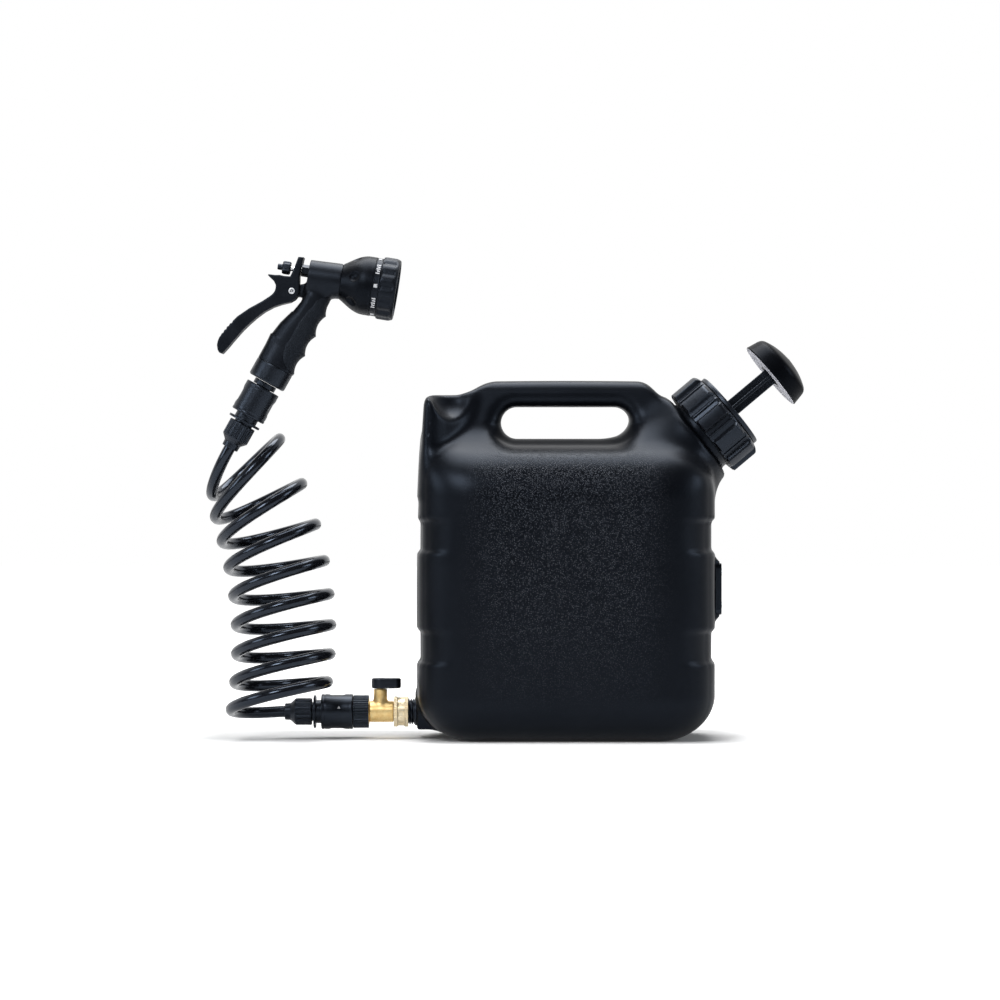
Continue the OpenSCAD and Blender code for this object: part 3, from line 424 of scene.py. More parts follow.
PLAIN = {"IOR": 1.45}
SATINS = [
    ("cap_black", "black_plastic", cool(0.5), (0.0028, 0.0031, 0.0042), (0.004, 0.0044, 0.0058), 0.29),
    ("bell_satin", "gun_plastic", cool(0.14), (0.0016, 0.0019, 0.0028), (0.003, 0.0034, 0.0046), 0.31),
    ("gun_satin", "gun_plastic", cool(0.27), (0.0028, 0.0031, 0.0042), (0.0042, 0.0046, 0.006), 0.33),
    ("dial_rubber", "grip_rubber", cool(0.3), (0.002, 0.0022, 0.003), (0.003, 0.0033, 0.0043), 0.37),
    ("seal_black", "seal_rubber", PLAIN, (0.012, 0.012, 0.012), (0.018, 0.018, 0.018), 0.65),
    ("mark_white", "white_plastic", PLAIN, (0.6, 0.61, 0.64), (0.68, 0.69, 0.72), 0.45),
    ("seat_white", "white_plastic", PLAIN, (0.62, 0.6, 0.55), (0.7, 0.68, 0.63), 0.45),
]
finish("tank_moulding", "tank_plastic", cool(0.22), tank_paint)
finish("knob_black", "black_plastic", cool(0.08), knob_paint)
for name, slot, fixed, *look in SATINS:
    finish(name, slot, fixed, clouded(*look))
finish("pad_rubber", "grip_rubber", cool(0.4), rubber_paint, "UV")
finish("hose_gloss", "hose_plastic", {**cool(0.5), "IOR": 1.5}, hose_paint)


# %% Metals
def rivet_paint(place):
    """A bright rim and middle with a dark ring between, by the distance from the trigger's pin. The ring
    is painted shade in the hollow of the rolled end.
    """
    flat = (1, 0, 1)
    away = place.vector("MULTIPLY", flat).vector("DISTANCE", PIN_AT * flat, "Value")
    # Painted shade: the hollow of the rolled end is darkened in the colour.
    ring = away.step(0.0005, 0.0008) * (1 - away.step(0.0014, 0.0017))
    return {
        "Base Color": ring.between((0.86, 0.88, 0.92, 1), (0.01, 0.01, 0.012, 1)),
        "Metallic": 0.7 - ring * 0.7,
        "Roughness": 0.35 + ring * 0.3,
    }


TARNISH = {"dull": -0.2, "size": 240, "detail": 3, "low": 0.25, "fine": 2400, "high": 0.00004}
METALS = [
    ("valve_brass", "brass", 0.8, (0.9, 0.62, 0.25), (1.0, 0.76, 0.36), 0.52),
    ("nut_brass", "pale_brass", 0.7, (0.96, 0.82, 0.56), (1.0, 0.88, 0.64), 0.44),
    ("bright_steel", "steel", 1.0, (0.75, 0.76, 0.78), (0.92, 0.93, 0.95), 0.5),
]
finish("rivet_bright", "steel", {}, rivet_paint)
for name, slot, metallic, *look in METALS:
    finish(name, slot, {"Metallic": metallic}, clouded(*look, **TARNISH))
print("finishes:", ", ".join(FINISHES))

# %% [markdown]
# ## Skins from grids
# A smooth piece is a function of two numbers: for a turned piece they are the place along its profile
# and the angle round its axis. The function fills a grid of points, and each cell is a face.


# %% Pieces from points and faces
def grid_faces(rows, columns, loop_rows=False, loop_columns=True):
    """Four corner numbers for each cell of a grid, which may close on itself either way."""
    row, column = np.meshgrid(
        np.arange(rows - (not loop_rows)), np.arange(columns - (not loop_columns)), indexing="ij"
    )
    below, beside = (row + 1) % rows, (column + 1) % columns
    round_cell = (row, column), (row, beside), (below, beside), (below, column)
    return np.stack([r * columns + c for r, c in round_cell], -1).reshape(-1, 4)


def outward(points, faces):
    """The faces, turned round if they point inwards: then a . (b x c), summed over their triangles,
    is below zero."""
    a, b, c, d = (points[faces[:, i]] for i in range(4))
    volume = np.einsum("ij,ij", a, np.cross(b, c)) + np.einsum("ij,ij", a, np.cross(c, d))
    return faces if volume > 0 else faces[:, ::-1]


def mesh_of(name, points, faces, caps=(), sharp=40):
    """A smooth-shaded mesh with welded poles. Edges sharper than the angle in degrees stay crisp."""
    mesh = bpy.data.meshes.new(name)
    mesh.from_pydata(points.tolist(), [], faces.tolist() + [list(map(int, cap)) for cap in caps])
    work = bmesh.new()
    work.from_mesh(mesh)
    bmesh.ops.remove_doubles(work, verts=work.verts, dist=1e-6)
    if len(caps):
        bmesh.ops.recalc_face_normals(work, faces=work.faces)
    work.to_mesh(mesh)
    work.free()
    mesh.shade_smooth()
    mesh.set_sharp_from_angle(angle=np.radians(sharp))
    return mesh


def piece(mesh, surface, node=None, body=None):
    """An object in the scene that rides on a body and stands for a CAD node, if it has one."""
    material, slot = FINISHES[surface]
    mesh.materials.append(material)
    made = add_object(mesh.name, mesh)
    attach(made, body or frame["nodes"][node]["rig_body"])
    if node:
        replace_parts(made, node)
    print(mesh.name, len(mesh.polygons), "faces")
    return made


# %% [markdown]
# ## The coiled hose
# The hose is a stiff plastic tube that was wound hot, so it keeps its loops and carries the gun. It
# leaves the lower nut, climbs eight leaning turns that tip over towards the top, and bends up into
# the upper nut. The route is a formula, and a circle is carried along it; this was chosen over a
# bevelled curve.

# %% Hose route
HOSE_D = 11.5 * MM
HOSE_SIDES = 24
COIL_R = 47 * MM
COIL_TURNS = 8
COIL_ENDS = 8.25
COIL_DIP = np.radians(6.5)
HOSE_IN = np.array([-266.2, 0, 26.5]) * MM
COIL_FROM = np.array([-284.7, 0, 26.5]) * MM
END_LENGTH = 14.5 * MM
RISER_R = 50.5 * MM
GRIP_DIR = GRIP[1][2]


def coil_point(turn):
    """Middle of the hose after so many turns: a rising axis that leans and drifts back, plus a circle
    across it, whose plane tips by a growing angle."""
    share = turn / COIL_TURNS
    lean, rise = 3.7 * turn - 67.5 * share**2.45, 25.8 * turn + 0.56 * turn**2
    axis = np.stack([lean, 42 * share, rise], -1) * MM
    tilt = np.radians(8.8 + 42 * share**4.3)
    across = np.stack([np.cos(tilt), 0 * tilt, np.sin(tilt)], -1)
    inward = np.array([0, np.cos(COIL_DIP), -np.sin(COIL_DIP)])
    swing = 2 * np.pi * turn[..., None]
    circle = COIL_R * (np.cos(swing) - 1) * inward
    return COIL_FROM + axis - COIL_R * np.sin(swing) * across + circle


def hose_route():
    """Straight out of the nut, the coil, an arc that turns into the grip's direction, and straight."""
    turns = np.linspace(0, COIL_ENDS, 397)
    coil = coil_point(turns)
    leaving = unit(coil[-1] - coil_point(np.array([COIL_ENDS - 0.001]))[0])
    side = unit(GRIP_DIR - leaving * np.dot(GRIP_DIR, leaving))
    bend = np.linspace(0, np.arccos(np.dot(leaving, GRIP_DIR)), 17)[1:, None]
    riser = coil[-1] + RISER_R * (np.sin(bend) * leaving + (1 - np.cos(bend)) * side)
    ahead = np.linspace(0, 1, 5)[1:, None]
    tail = HOSE_IN + (COIL_FROM - HOSE_IN) * np.linspace(0, 1, 6)[:-1, None]
    return np.concatenate([tail, coil, riser, riser[-1] + END_LENGTH * GRIP_DIR * ahead])


def tube_mesh(name, path, radius, count):
    """A circle at every point of a path, square to it: cos times a level side plus sin times the rest.
    A point at each end closes the tube."""
    way = unit(np.gradient(path, axis=0))
    side = unit(np.cross(way, [0, 0, 1]))
    top = np.cross(side, way)
    angle = np.linspace(0, 2 * np.pi, count, endpoint=False)[None, :, None]
    rings = path[:, None] + radius * (np.cos(angle) * side[:, None] + np.sin(angle) * top[:, None])
    start, end = (path[i, None, None].repeat(count, 1) for i in (0, -1))
    points = np.concatenate([start, rings, end]).reshape(-1, 3)
    return mesh_of(name, points, outward(points, grid_faces(len(path) + 2, count)))


# %% Hose
hose_path = hose_route()
hose_mesh = tube_mesh("coil_hose_skin", hose_path, HOSE_D / 2, HOSE_SIDES)
hose = piece(hose_mesh, "hose_gloss", "coil_hose")

# %% [markdown]
# ## Turned pieces
# Caps, nuts, sleeves and the gun's head come out of round moulds, and the brass nut off a lathe. Each
# is a profile, given by corners and how far each is rounded, spun about its axis. Ribs, lugs and
# dimples are a relief: a height added to the radius that depends on the angle and the place along.
# A relief was chosen over cutting shapes out, because it keeps the grid even and its edges soft.


# %% Profiles and reliefs
def rounded(corners):
    """A line through corners of radius, along and round. A corner is left where its round starts,
    and bridged by (1-t)^2 from + 2t(1-t) corner + t^2 to."""
    corners = np.asarray(corners, float)
    line = [corners[:1, :2]]
    t = np.linspace(0, 1, 6)[:, None]
    for before, here, after in zip(corners, corners[1:], corners[2:]):
        back, ahead = before[:2] - here[:2], after[:2] - here[:2]
        start = here[:2] + unit(back) * min(here[2], np.linalg.norm(back) * 0.49)
        end = here[:2] + unit(ahead) * min(here[2], np.linalg.norm(ahead) * 0.49)
        curve = (1 - t) ** 2 * start + 2 * t * (1 - t) * here[:2] + t**2 * end
        line.append(curve if here[2] > 0 else here[None, :2])
    return np.concatenate(line + [corners[-1:, :2]])


def refined(line, step):
    """The same line with points no further apart than step."""
    gaps = np.linalg.norm(np.diff(line, axis=0), axis=1)
    parts = [np.linspace(a, b, max(1, int(np.ceil(gap / step))), endpoint=False)
             for a, b, gap in zip(line, line[1:], gaps)]
    return np.concatenate(parts + [line[-1:]])


def soft(value, low, high):
    """A soft step: t^2 (3 - 2t), where t runs from 0 at low to 1 at high."""
    t = np.clip((value - low) / (high - low), 0, 1)
    return t * t * (3 - 2 * t)


def band(value, low, high, edge):
    """1 between low and high, falling softly to 0 over an edge outside them."""
    return soft(value, low - edge, low) * (1 - soft(value, high, high + edge))


def ribs(angle, count, width, edge):
    """A row of ribs round an axis: 1 on a rib, 0 between. Width and edge are shares of one step."""
    share = np.abs((angle * count / (2 * np.pi) + 0.5) % 1 - 0.5)
    return 1 - soft(share, width / 2 - edge / 2, width / 2 + edge / 2)


def flutes(count, depth, width, blur, low, high, edge, past):
    """A relief of ribs between two places along, sunk by the depth between them, past a radius."""
    def relief(radius, along, angle):
        sunk = 1 - ribs(angle, count, width, blur)
        return -depth * sunk * band(along, low, high, edge) * (radius > past)
    return relief


def turned(node, axes, corners, surface="cap_black", relief=None, count=96, step=2.0, loop=True):
    """A profile in millimetres spun about an axis. A looped profile joins its end to its start."""
    line = refined(rounded(corners + corners[:1] if loop else corners), step)
    line = line[:-1] if loop else line
    angle = np.linspace(0, 2 * np.pi, count, endpoint=False)[None]
    radius, along = line[:, :1] + 0 * angle, line[:, 1:] + 0 * angle
    if relief is not None:
        radius = radius + relief(radius, along, angle + 0 * radius)
    points = np.stack([radius * np.cos(angle), radius * np.sin(angle), along], -1).reshape(-1, 3)
    points = to_world(axes, points * MM)
    faces = outward(points, grid_faces(len(line), count, loop_rows=loop))
    return piece(mesh_of(node + "_skin", points, faces), surface, node)


# %% [markdown]
# ### Hand pump
# The cap is screwed by hand, so broad lugs stand round it, with one thin rib in each groove. Under the
# knob a cross-shaped rod runs down through the cover: a cross is stiff and is moulded without sinks.

# %% Cap, cover and knob
LUGS = 11


def cap_relief(radius, along, angle):
    """Lugs 4.8 mm high and ribs of 1.5 mm between them, on the outer wall and rounded on top."""
    wall = soft(radius, 42, 44) * (1 - 0.75 * soft(along, 28, 33)) * soft(along, -0.2, 1.2)
    lug = ribs(angle, LUGS, 0.5, 0.1)
    rib = ribs(angle + np.pi / LUGS, LUGS, 0.075, 0.045)
    return wall * (4.8 * lug + 1.5 * rib)


turned("screw_cap", PUMP, [
    (40.4, 0, 0.4), (44.5, 0, 0.6), (44.5, 33, 4), (33.4, 33, 0.5), (33.4, 29.3, 0.3),
    (40.4, 29.3, 0.3),
], relief=cap_relief, count=440, step=1.2)
turned("pump_cover", PUMP, [
    (8.8, 33.4, 0.2), (40.9, 33.4, 0.6), (40.9, 37.9, 1.6), (24, 37.9, 2), (22, 37.3, 2),
    (8.8, 37.3, 0.6),
], count=128)
turned("pump_knob", PUMP, [
    (0, 89.6, 0), (10.4, 89.6, 0.4), (10.4, 88.95, 0.3), (35.8, 88.95, 0.6), (36.8, 90.2, 0.5),
    (36.6, 91.2, 0.2), (36.4, 91.6, 0.2), (33.6, 106.2, 5), (18.5, 112.4, 14), (0, 114.7, 0),
], "knob_black", count=128, step=1.5, loop=False)


# %% Pump rod
def cross_ring(width, web, edge):
    """The outline of a cross, each corner cut by the edge, as points round it."""
    w, h = width / 2, web / 2
    arm = [[h, h], [w - edge, h], [w, h - edge], [w, edge - h], [w - edge, -h], [h, -h]]
    turns = np.arange(4)[:, None] * np.pi / 2
    x, y = np.array(arm)[None, ::-1].transpose(2, 0, 1)
    ring = x * np.cos(turns) - y * np.sin(turns), x * np.sin(turns) + y * np.cos(turns)
    return np.stack(ring, -1).reshape(-1, 2)


def rod_mesh(name, low, high, rows=30):
    """The cross carried along the pump's axis, closed at both ends."""
    ring = cross_ring(width=16.7, web=3.4, edge=0.5)
    count = len(ring)
    along = np.linspace(low, high, rows).repeat(count)
    points = np.column_stack([np.tile(ring, (rows, 1)), along])
    points = to_world(PUMP, points * MM)
    caps = [np.arange(count), np.arange(count) + (rows - 1) * count]
    return mesh_of(name, points, outward(points, grid_faces(rows, count)), caps, sharp=30)


piece(rod_mesh("pump_rod_skin", low=-84, high=108), "cap_black", "pump_rod")

# %% [markdown]
# ### Outlet, valve and connectors
# From the tank outwards: a threaded stub, a brass nut that turns, the valve, a ribbed adaptor, and a
# quick connector whose sleeve is pulled back to let go. The same connector holds the gun, upside down.

# %% Outlet pieces
OUT = axes_at(OUTLET[0] * [0, 1, 1] + [-0.1485, 0, 0], OUTLET[1][2])
LOWER = axes_at(to_world(OUT, [0, 0, 0.0635]), OUTLET[1][2])
UPPER = axes_at(to_world(GRIP, [0, 0, -0.0055]), -GRIP[1][2])
THREAD_PITCH = 2.3


def thread_relief(radius, along, angle):
    """A thread: a wave that moves one pitch along in each turn."""
    turn = (along / THREAD_PITCH - angle / (2 * np.pi)) % 1
    return -1.9 * soft(np.abs(turn - 0.5), 0.14, 0.44) * band(along, 2.6, 15, 0.3) * (radius > 11)


def nut_relief(radius, along, angle):
    """Fine teeth on both rims, and a sunk band with pockets between them."""
    rims = band(along, 8.9, 11.4, 0.3) + band(along, 20.2, 22.6, 0.3)
    teeth = rims * (1 - ribs(angle, 48, 0.5, 0.4))
    middle = band(along, 12.6, 19, 0.4)
    pockets = ribs(angle + 0.3, 9, 0.5, 0.06) * band(along, 13.4, 18.2, 0.2)
    return (radius > 14) * (-0.9 * teeth - 0.9 * middle - 0.7 * pockets)


turned("outlet_stub", OUT, [
    (6.4, -19.8, 0.2), (9.9, -19.8, 0.3), (9.9, 0.1, 0), (13.9, 0.1, 0.3), (13.9, 1.9, 0.4),
    (12.9, 2.1, 0.2), (12.9, 16.7, 0.8), (6.4, 16.7, 0.3),
], relief=thread_relief, step=0.35)
turned("swivel_nut", OUT, [
    (13.4, 8.6, 0.3), (15.2, 8.6, 0.5), (15.2, 22.9, 0.6), (9.6, 22.9, 0.3), (9.6, 21.4, 0.2),
    (13.4, 21.4, 0.3),
], "nut_brass", nut_relief, count=384, step=0.45)
turned("tap_adaptor", OUT, [
    (13.4, 47.9, 0.3), (16.4, 47.9, 0.8), (16.4, 63.4, 0.6), (7.4, 63.4, 0.3), (7.4, 83.8, 0.6),
    (4.3, 83.8, 0.3), (4.3, 60.4, 0), (13.4, 60.4, 0.3),
], relief=flutes(40, 0.8, 0.52, 0.3, 48.9, 62.6, 0.8, past=11.3), count=400, step=1.0)

# %% Quick connectors
SLEEVE_R = 17.45


def sleeve_relief(radius, along, angle):
    """Two shallow hollows for the fingers, and a faint line near each end."""
    lines = band(along, 3.2, 3.5, 0.25) + band(along, 28.6, 28.9, 0.25)
    reach = np.abs((angle / np.pi + 0.5) % 1 - 0.5) * np.pi * 17.5
    hollow = np.clip(1 - (reach / 9) ** 2 - ((along - 16) / 9) ** 2, 0, 1)
    return (radius > 16) * (-0.35 * lines - 0.7 * soft(hollow, 0, 0.6))


def connector(name, axes):
    """The three pieces of a quick connector that are seen: sleeve, core with flange, and hose nut."""
    turned(name + "_sleeve", axes, [
        (13.05, 0.35, 0.2), (SLEEVE_R, 0.35, 1.3), (SLEEVE_R, 31.95, 1.3), (13.05, 31.95, 0.3),
    ], relief=sleeve_relief, count=192, step=1.0)
    core = turned(name + "_core", axes, [
        (7.7, 0.65, 0.2), (12.5, 0.65, 0.3), (12.5, 11.9, 0.2), (9.6, 11.9, 0.2), (9.6, 29.1, 0.2),
        (12.5, 29.1, 0.2), (12.5, 31.4, 0.3), (11.6, 31.6, 0.2), (11.6, 37.3, 0.4),
        (16.4, 37.3, 0.5), (16.4, 39.6, 0.5), (9.4, 39.6, 0.4), (9.4, 50, 0.3), (3.3, 50, 0.3),
        (3.3, 21, 0.2), (7.7, 21, 0.2),
    ])
    nut = turned(name + "_hose_nut", axes, [
        (9.7, 41.4, 0.2), (13.4, 41.4, 0.9), (13.4, 57.6, 0.9), (9.6, 61.6, 1.5), (8.5, 62.8, 1),
        (8.3, 68.4, 0.7), (5.9, 68.4, 0.3), (5.9, 51, 0.2), (9.7, 50.6, 0.2),
    ], relief=flutes(16, 1.0, 0.6, 0.3, 43, 56.6, 0.8, past=12), count=256, step=1.0)
    return [core, nut]


connector("lower", LOWER)
hose_end_pieces = connector("upper", UPPER)

# %% [markdown]
# ### Head of the gun
# The head flares from the barrel to the dial, with dimples for the fingers. A band with plain pale marks
# shows which spray pattern is chosen, and the dial has broad soft lobes to turn it by.

# %% Collar, head, band and dial
DIMPLE_AT, DIMPLE_R, DIMPLE_DEEP = 46.0, 5.4, 2.8


def bell_corners():
    """The flare as a list of corners: the sine of up to a quarter turn, raised to 1.1, neck to rim."""
    share = np.linspace(0, 1, 16)
    swell = np.sin(np.pi / 2 * np.minimum(1, share / 0.8)) ** 1.1
    return [(17.6 + 11.4 * s, 33.15 + 31.35 * u, 0) for s, u in zip(swell, share)]


def dimple_relief(radius, along, angle):
    """Six round hollows: their depth times one minus the squared share of the way to their rim."""
    turn = (angle - np.radians(17.5)) * 6 / (2 * np.pi)
    across = ((turn + 0.5) % 1 - 0.5) * np.pi / 3 * radius
    away = (across**2 + (along - DIMPLE_AT) ** 2 * 1.1) / DIMPLE_R**2
    return -DIMPLE_DEEP * np.clip(1 - away, 0, None) * (radius > 16) * (along < 60)


def lobe_relief(radius, along, angle):
    """Six lobes on the flow nut's wheel."""
    return -1.5 * (1 - ribs(angle, 6, 0.5, 0.4)) * soft(radius, 3.4, 5)


turned("gun_collar", GRIP, [
    (12.8, 0.1, 0.2), (18, 0.1, 1.2), (19.2, 1.6, 0.8), (19.2, 17.6, 0.8), (18.6, 18.15, 0.3),
    (12.8, 18.15, 0.2),
])
turned("gun_nipple", UPPER, [
    (4.3, 20.3, 0.2), (7.4, 20.3, 0.6), (7.4, 0, 0.2), (11.5, -0.2, 0.3), (11.5, -5.3, 0.3),
    (4.3, -5.3, 0.2),
], count=64)
turned("head_shell", HEAD, [
    (0, 33.15, 0), *bell_corners(), (26.7, 64.6, 0.2), (26.7, 77.5, 0.3), (23.4, 77.5, 0.3),
    (23.4, 66, 0.5), (0, 60, 0),
], "bell_satin", dimple_relief, count=300, step=0.7, loop=False)
turned("pattern_band", HEAD, [
    (26.9, 64.8, 0.2), (29.1, 64.8, 0.3), (28.6, 65.6, 0.2), (28.6, 70.2, 0.2), (29.1, 71, 0.3),
    (26.9, 71, 0.2),
], "gun_satin", count=144, step=0.8)
turned("dial_ring", HEAD, [
    (27.2, 71.5, 0.2), (30.3, 71.5, 0.6), (30.8, 73.5, 1), (30.8, 84.5, 1.5), (29.2, 88.2, 1.0),
    (26.2, 88.2, 0.6), (25, 82, 0.5), (27.2, 81.6, 0.2),
], "dial_rubber", flutes(14, 1.5, 0.62, 0.5, 73.4, 84, 2.2, past=28), count=336, step=0.9)
turned("flow_nut", STEM, [
    (0, -31.6, 0), (3, -31.6, 1), (3, -27, 0.4), (5.6, -26.8, 0.7), (6.5, -25.4, 0.8),
    (6.5, -19.6, 0.8), (5.6, -18.5, 0.6), (2.6, -18.5, 0.2), (2.6, -20, 0.2), (0, -20, 0),
], relief=lobe_relief, step=0.8, loop=False)

# %% [markdown]
# ### Pin and printed marks
# The trigger turns on a rivet whose rolled ends show as bright rings. The band carries pale marks, and
# so does a sleeve. A mark could be a colour in the finish, but a low raised shape keeps its edge at any
# size.

# %% Trigger pin
PIN = PIN_AT, np.array([[1.0, 0, 0], [0, 0, 1.0], [0, -1.0, 0]])
PIN_END = [(0, 10.2, 0), (0.55, 10.2, 0.15), (0.9, 9.75, 0.1), (1.35, 9.75, 0.1), (1.75, 10.75, 0.3),
           (2.9, 10.7, 0.35), (3.15, 10.15, 0.15), (2.2, 10.05, 0)]
turned("trigger_pin", PIN, PIN_END + [(r, -along, edge) for r, along, edge in PIN_END[::-1]],
       "rivet_bright", count=48, step=0.6, loop=False)

# %% Marks
BAND_R = 28.6
MARK_FOOT, MARK_TOP = -0.3, 0.15
PATTERN_TURN = 72


def raised_marks(name, axes, radius, outlines, body):
    """Low prisms on a cylinder: outlines of arc and along in millimetres, one row each, carried from
    just under the surface to just above it."""
    outlines = np.asarray(outlines, float)
    count, corners = outlines.shape[:2]
    angle, along = outlines[..., 0] / radius, outlines[..., 1]
    out = np.array([radius + MARK_FOOT, radius + MARK_TOP])[:, None, None]
    points = np.stack([out * np.cos(angle), out * np.sin(angle), along + 0 * out], -1)
    points = to_world(axes, points.transpose(1, 0, 2, 3).reshape(-1, 3) * MM)
    first = 2 * corners * np.arange(count)[:, None]
    walls = grid_faces(2, corners)[None] + first[..., None]
    feet = np.arange(corners)[None] + first
    caps = np.concatenate([feet, feet + corners])
    mesh = mesh_of(name, points, walls.reshape(-1, 4), caps, sharp=30)
    piece(mesh, "mark_white", body=body)


def bar(middle, width, low, high):
    """A bar round the band: its middle in degrees, and its width, start and end in millimetres."""
    arc = np.radians(middle) * BAND_R + np.array([-0.5, 0.5, 0.5, -0.5]) * width
    return np.stack([arc, [low, low, high, high]], -1)


words = [bar(turn + 5 * tick, 1.3, 66 + 0.7 * (tick % 2), 69.8)
         for turn in np.arange(-125, 235, PATTERN_TURN) for tick in range(-2, 3)]
signs = [bar(turn, 3.4, 66.2, 69.6) for turn in np.arange(-89, 271, PATTERN_TURN)]
raised_marks("pattern_marks", HEAD, BAND_R, words + signs, "gun")
arrow = np.array([[-1.4, -1.6], [1.4, 0], [-1.4, 1.6]])
arrow_at = [np.radians(-72) * SLEEVE_R, 13.8]
raised_marks("lower_mark", LOWER, SLEEVE_R, [arrow + arrow_at], "lower_sleeve")

# %% [markdown]
# ## Moulded bodies
# The tank is blown and the gun's body is cast in a mould, so their faces flow into one another with wide
# rounds. Such a body is a field: a formula that is below zero inside. Boxes, cones and planes are joined
# by a soft minimum, which leaves the round, and the surface where the field is zero is meshed. This was
# chosen over joining meshes, because every blend then has its own radius and no seam shows.


# %% Fields and their surface
def join(a, b, width):
    """A soft minimum: b + (a - b) h - width h (1 - h), where h runs from 0 to 1 as a falls below b."""
    h = np.clip(0.5 + 0.5 * (b - a) / width, 0, 1)
    return b + (a - b) * h - width * h * (1 - h)


def common(a, b, width):
    """A soft maximum: what two bodies share."""
    return -join(-a, -b, width)


def without(a, b, width):
    """The first body with the second taken away."""
    return common(a, -b, width)


def past_plane(a, b, at, way):
    """How far a place lies past a plane through a point, along a direction across two axes."""
    return (a - at[0]) * way[0] + (b - at[1]) * way[1]


def slope_of(field, points, step=0.05):
    """The field's rate of change along each axis, from both sides of each point."""
    shifts = np.eye(3) * step
    return np.stack([field(points + s) - field(points - s) for s in shifts], -1) / (2 * step)


def net(field, low, high, cell):
    """One point for each cell that the surface crosses, pulled onto it by p - f g / |g|^2, and one face
    for each grid edge that it crosses, between the four cells round that edge."""
    ticks = [np.arange(a, b + cell, cell) for a, b in zip(low, high)]
    inside = field(np.stack(np.meshgrid(*ticks, indexing="ij"), -1)) < 0
    ends = slice(None, -1), slice(1, None)
    corners = np.stack([inside[a, b, c] for a in ends for b in ends for c in ends])
    crossed = corners.any(0) & ~corners.all(0)
    number = np.full(crossed.shape, -1)
    number[crossed] = np.arange(crossed.sum())
    points = np.asarray(low) + (np.argwhere(crossed) + 0.5) * cell
    faces = []
    for axis in range(3):
        one, two = np.roll(np.eye(3, dtype=int), -axis, 0)[1:]
        ahead = np.take(inside, np.arange(1, inside.shape[axis]), axis)
        here = np.take(inside, np.arange(inside.shape[axis] - 1), axis)
        spots = np.argwhere(ahead != here)
        for way in (one, two):
            place = spots @ way
            spots = spots[(place > 0) & (place < number.shape[np.argmax(way)])]
        quad = np.stack([number[tuple((spots - d).T)] for d in (one + two, two, 0 * one, one)], -1)
        faces.append(np.where(here[tuple(spots.T)][:, None], quad, quad[:, ::-1]))
    for _ in range(4):
        slope = slope_of(field, points)
        pull = field(points) / np.maximum((slope**2).sum(-1), 1e-6)
        points = points - np.clip(pull[:, None] * slope, -cell, cell)
    return points, np.concatenate(faces)


def moulded(node, axes, field, low, high, cell, surface):
    """A piece meshed from a field in millimetres, in the frame of an axis."""
    points, faces = net(field, low, high, cell)
    piece(mesh_of(node + "_skin", to_world(axes, points * MM), faces, sharp=60), surface, node)


# %% [markdown]
# ### Tank
# The can is a box with wide rounds below and a shoulder that slopes back on all sides to the handle. Two
# grooves stiffen each side. The handle is a ridge with a rounded opening, the left end carries a column
# with a hollow for the thumb on both faces, and the neck grows out of the right shoulder at a slant.

# %% Tank field
ORIGIN = axes_at((0, 0, 0), (0, 0, 1))
ROUNDS = np.array([56.0, 38.0, 45.0])
HALF_W, HALF_D = 148.5, 85
SHOULDER_Z = 268
HANDLE_TOP, HANDLE_FROM = 357, 240
OPENING_Z = 315
LEFT_LEAN = (0.9958, 0.0917)
NECK_R, SPIGOT_R, MOUTH_R, PUMP_HOLE_R = 46.5, 38.9, 34, 23
OUTLET_Z = 26.5


def tank_box(x, y, z):
    """A box with crowned sides and elliptical rounds: past the start of a round each share counts
    towards the length of m, and the distance is (|m| - 1) |m| over the length of m divided by the
    rounds."""
    flat = HALF_D - ROUNDS[1]
    crown = 3 * np.minimum(y / flat, 1.3) ** 2
    past = np.stack([np.abs(x) + crown - HALF_W + ROUNDS[0], y - flat, ROUNDS[2] - z], -1)
    m = np.maximum(past / ROUNDS, 0)
    size = np.maximum(np.linalg.norm(m, axis=-1), 1e-6)
    reach = np.maximum(np.linalg.norm(m / ROUNDS, axis=-1), 1e-6)
    deep = np.max(past - ROUNDS, -1)
    return np.where(size > 0.02, (size - 1) * size / reach, deep)


def tank_grooves(x, z):
    """How far the sides are drawn in: 3.5 mm in two bands, fading towards the front."""
    bands = band(z, 81, 106, 6) + band(z, 190, 215, 6)
    return 3.5 * bands * soft(np.abs(x), 108, 140)


def tank_handle(x, y, z):
    """The ridge of the handle, thinner upwards, with sloping ends."""
    thick = 17 + 14 * np.clip((HANDLE_TOP - z) / 58, 0, 1.5)
    ridge = common(y - thick, z - HANDLE_TOP + 0.0001 * x**2, 13)
    ridge = common(ridge, past_plane(x, z, (-77.5, 356.5), (-0.503, 0.864)), 5)
    ridge = common(ridge, past_plane(x, z, (80, 356.5), (0.738, 0.675)), 7)
    ridge = common(ridge, np.maximum(-105 - x, x - 116), 6)
    return np.maximum(ridge, HANDLE_FROM - z)


def tank_opening(x, y, z):
    """A stadium through the ridge that flares towards both faces."""
    flare = 7 * soft(y, 11, 34) * np.where(z < OPENING_Z, 1, 0.6)
    return np.hypot(np.maximum(np.abs(x) - 48.5, 0), z - OPENING_Z) - 16 - flare


def tank_column(x, y, z):
    """The column at the left end: a wedge in plan with blunt corners, level on top."""
    inner = past_plane(x, y, (-88, 19), (0.678, 0.7345))
    wedge = common(inner, past_plane(-x, z, (141, 338), LEFT_LEAN), 14)
    wedge = common(wedge, y - 58, 12)
    wedge = common(wedge, z - 342.3 - 0.02 * (x + 120), 11)
    return np.maximum(wedge, HANDLE_FROM - z)


def thumb_hollow(x, y, z):
    """The hollow for the thumb: an ellipsoid, as its share less one times a mean radius."""
    share = np.sqrt(((x + 110) / 24) ** 2 + ((y - 46) / 26) ** 2 + ((z - 345) / 27) ** 2)
    return (share - 1) * 22


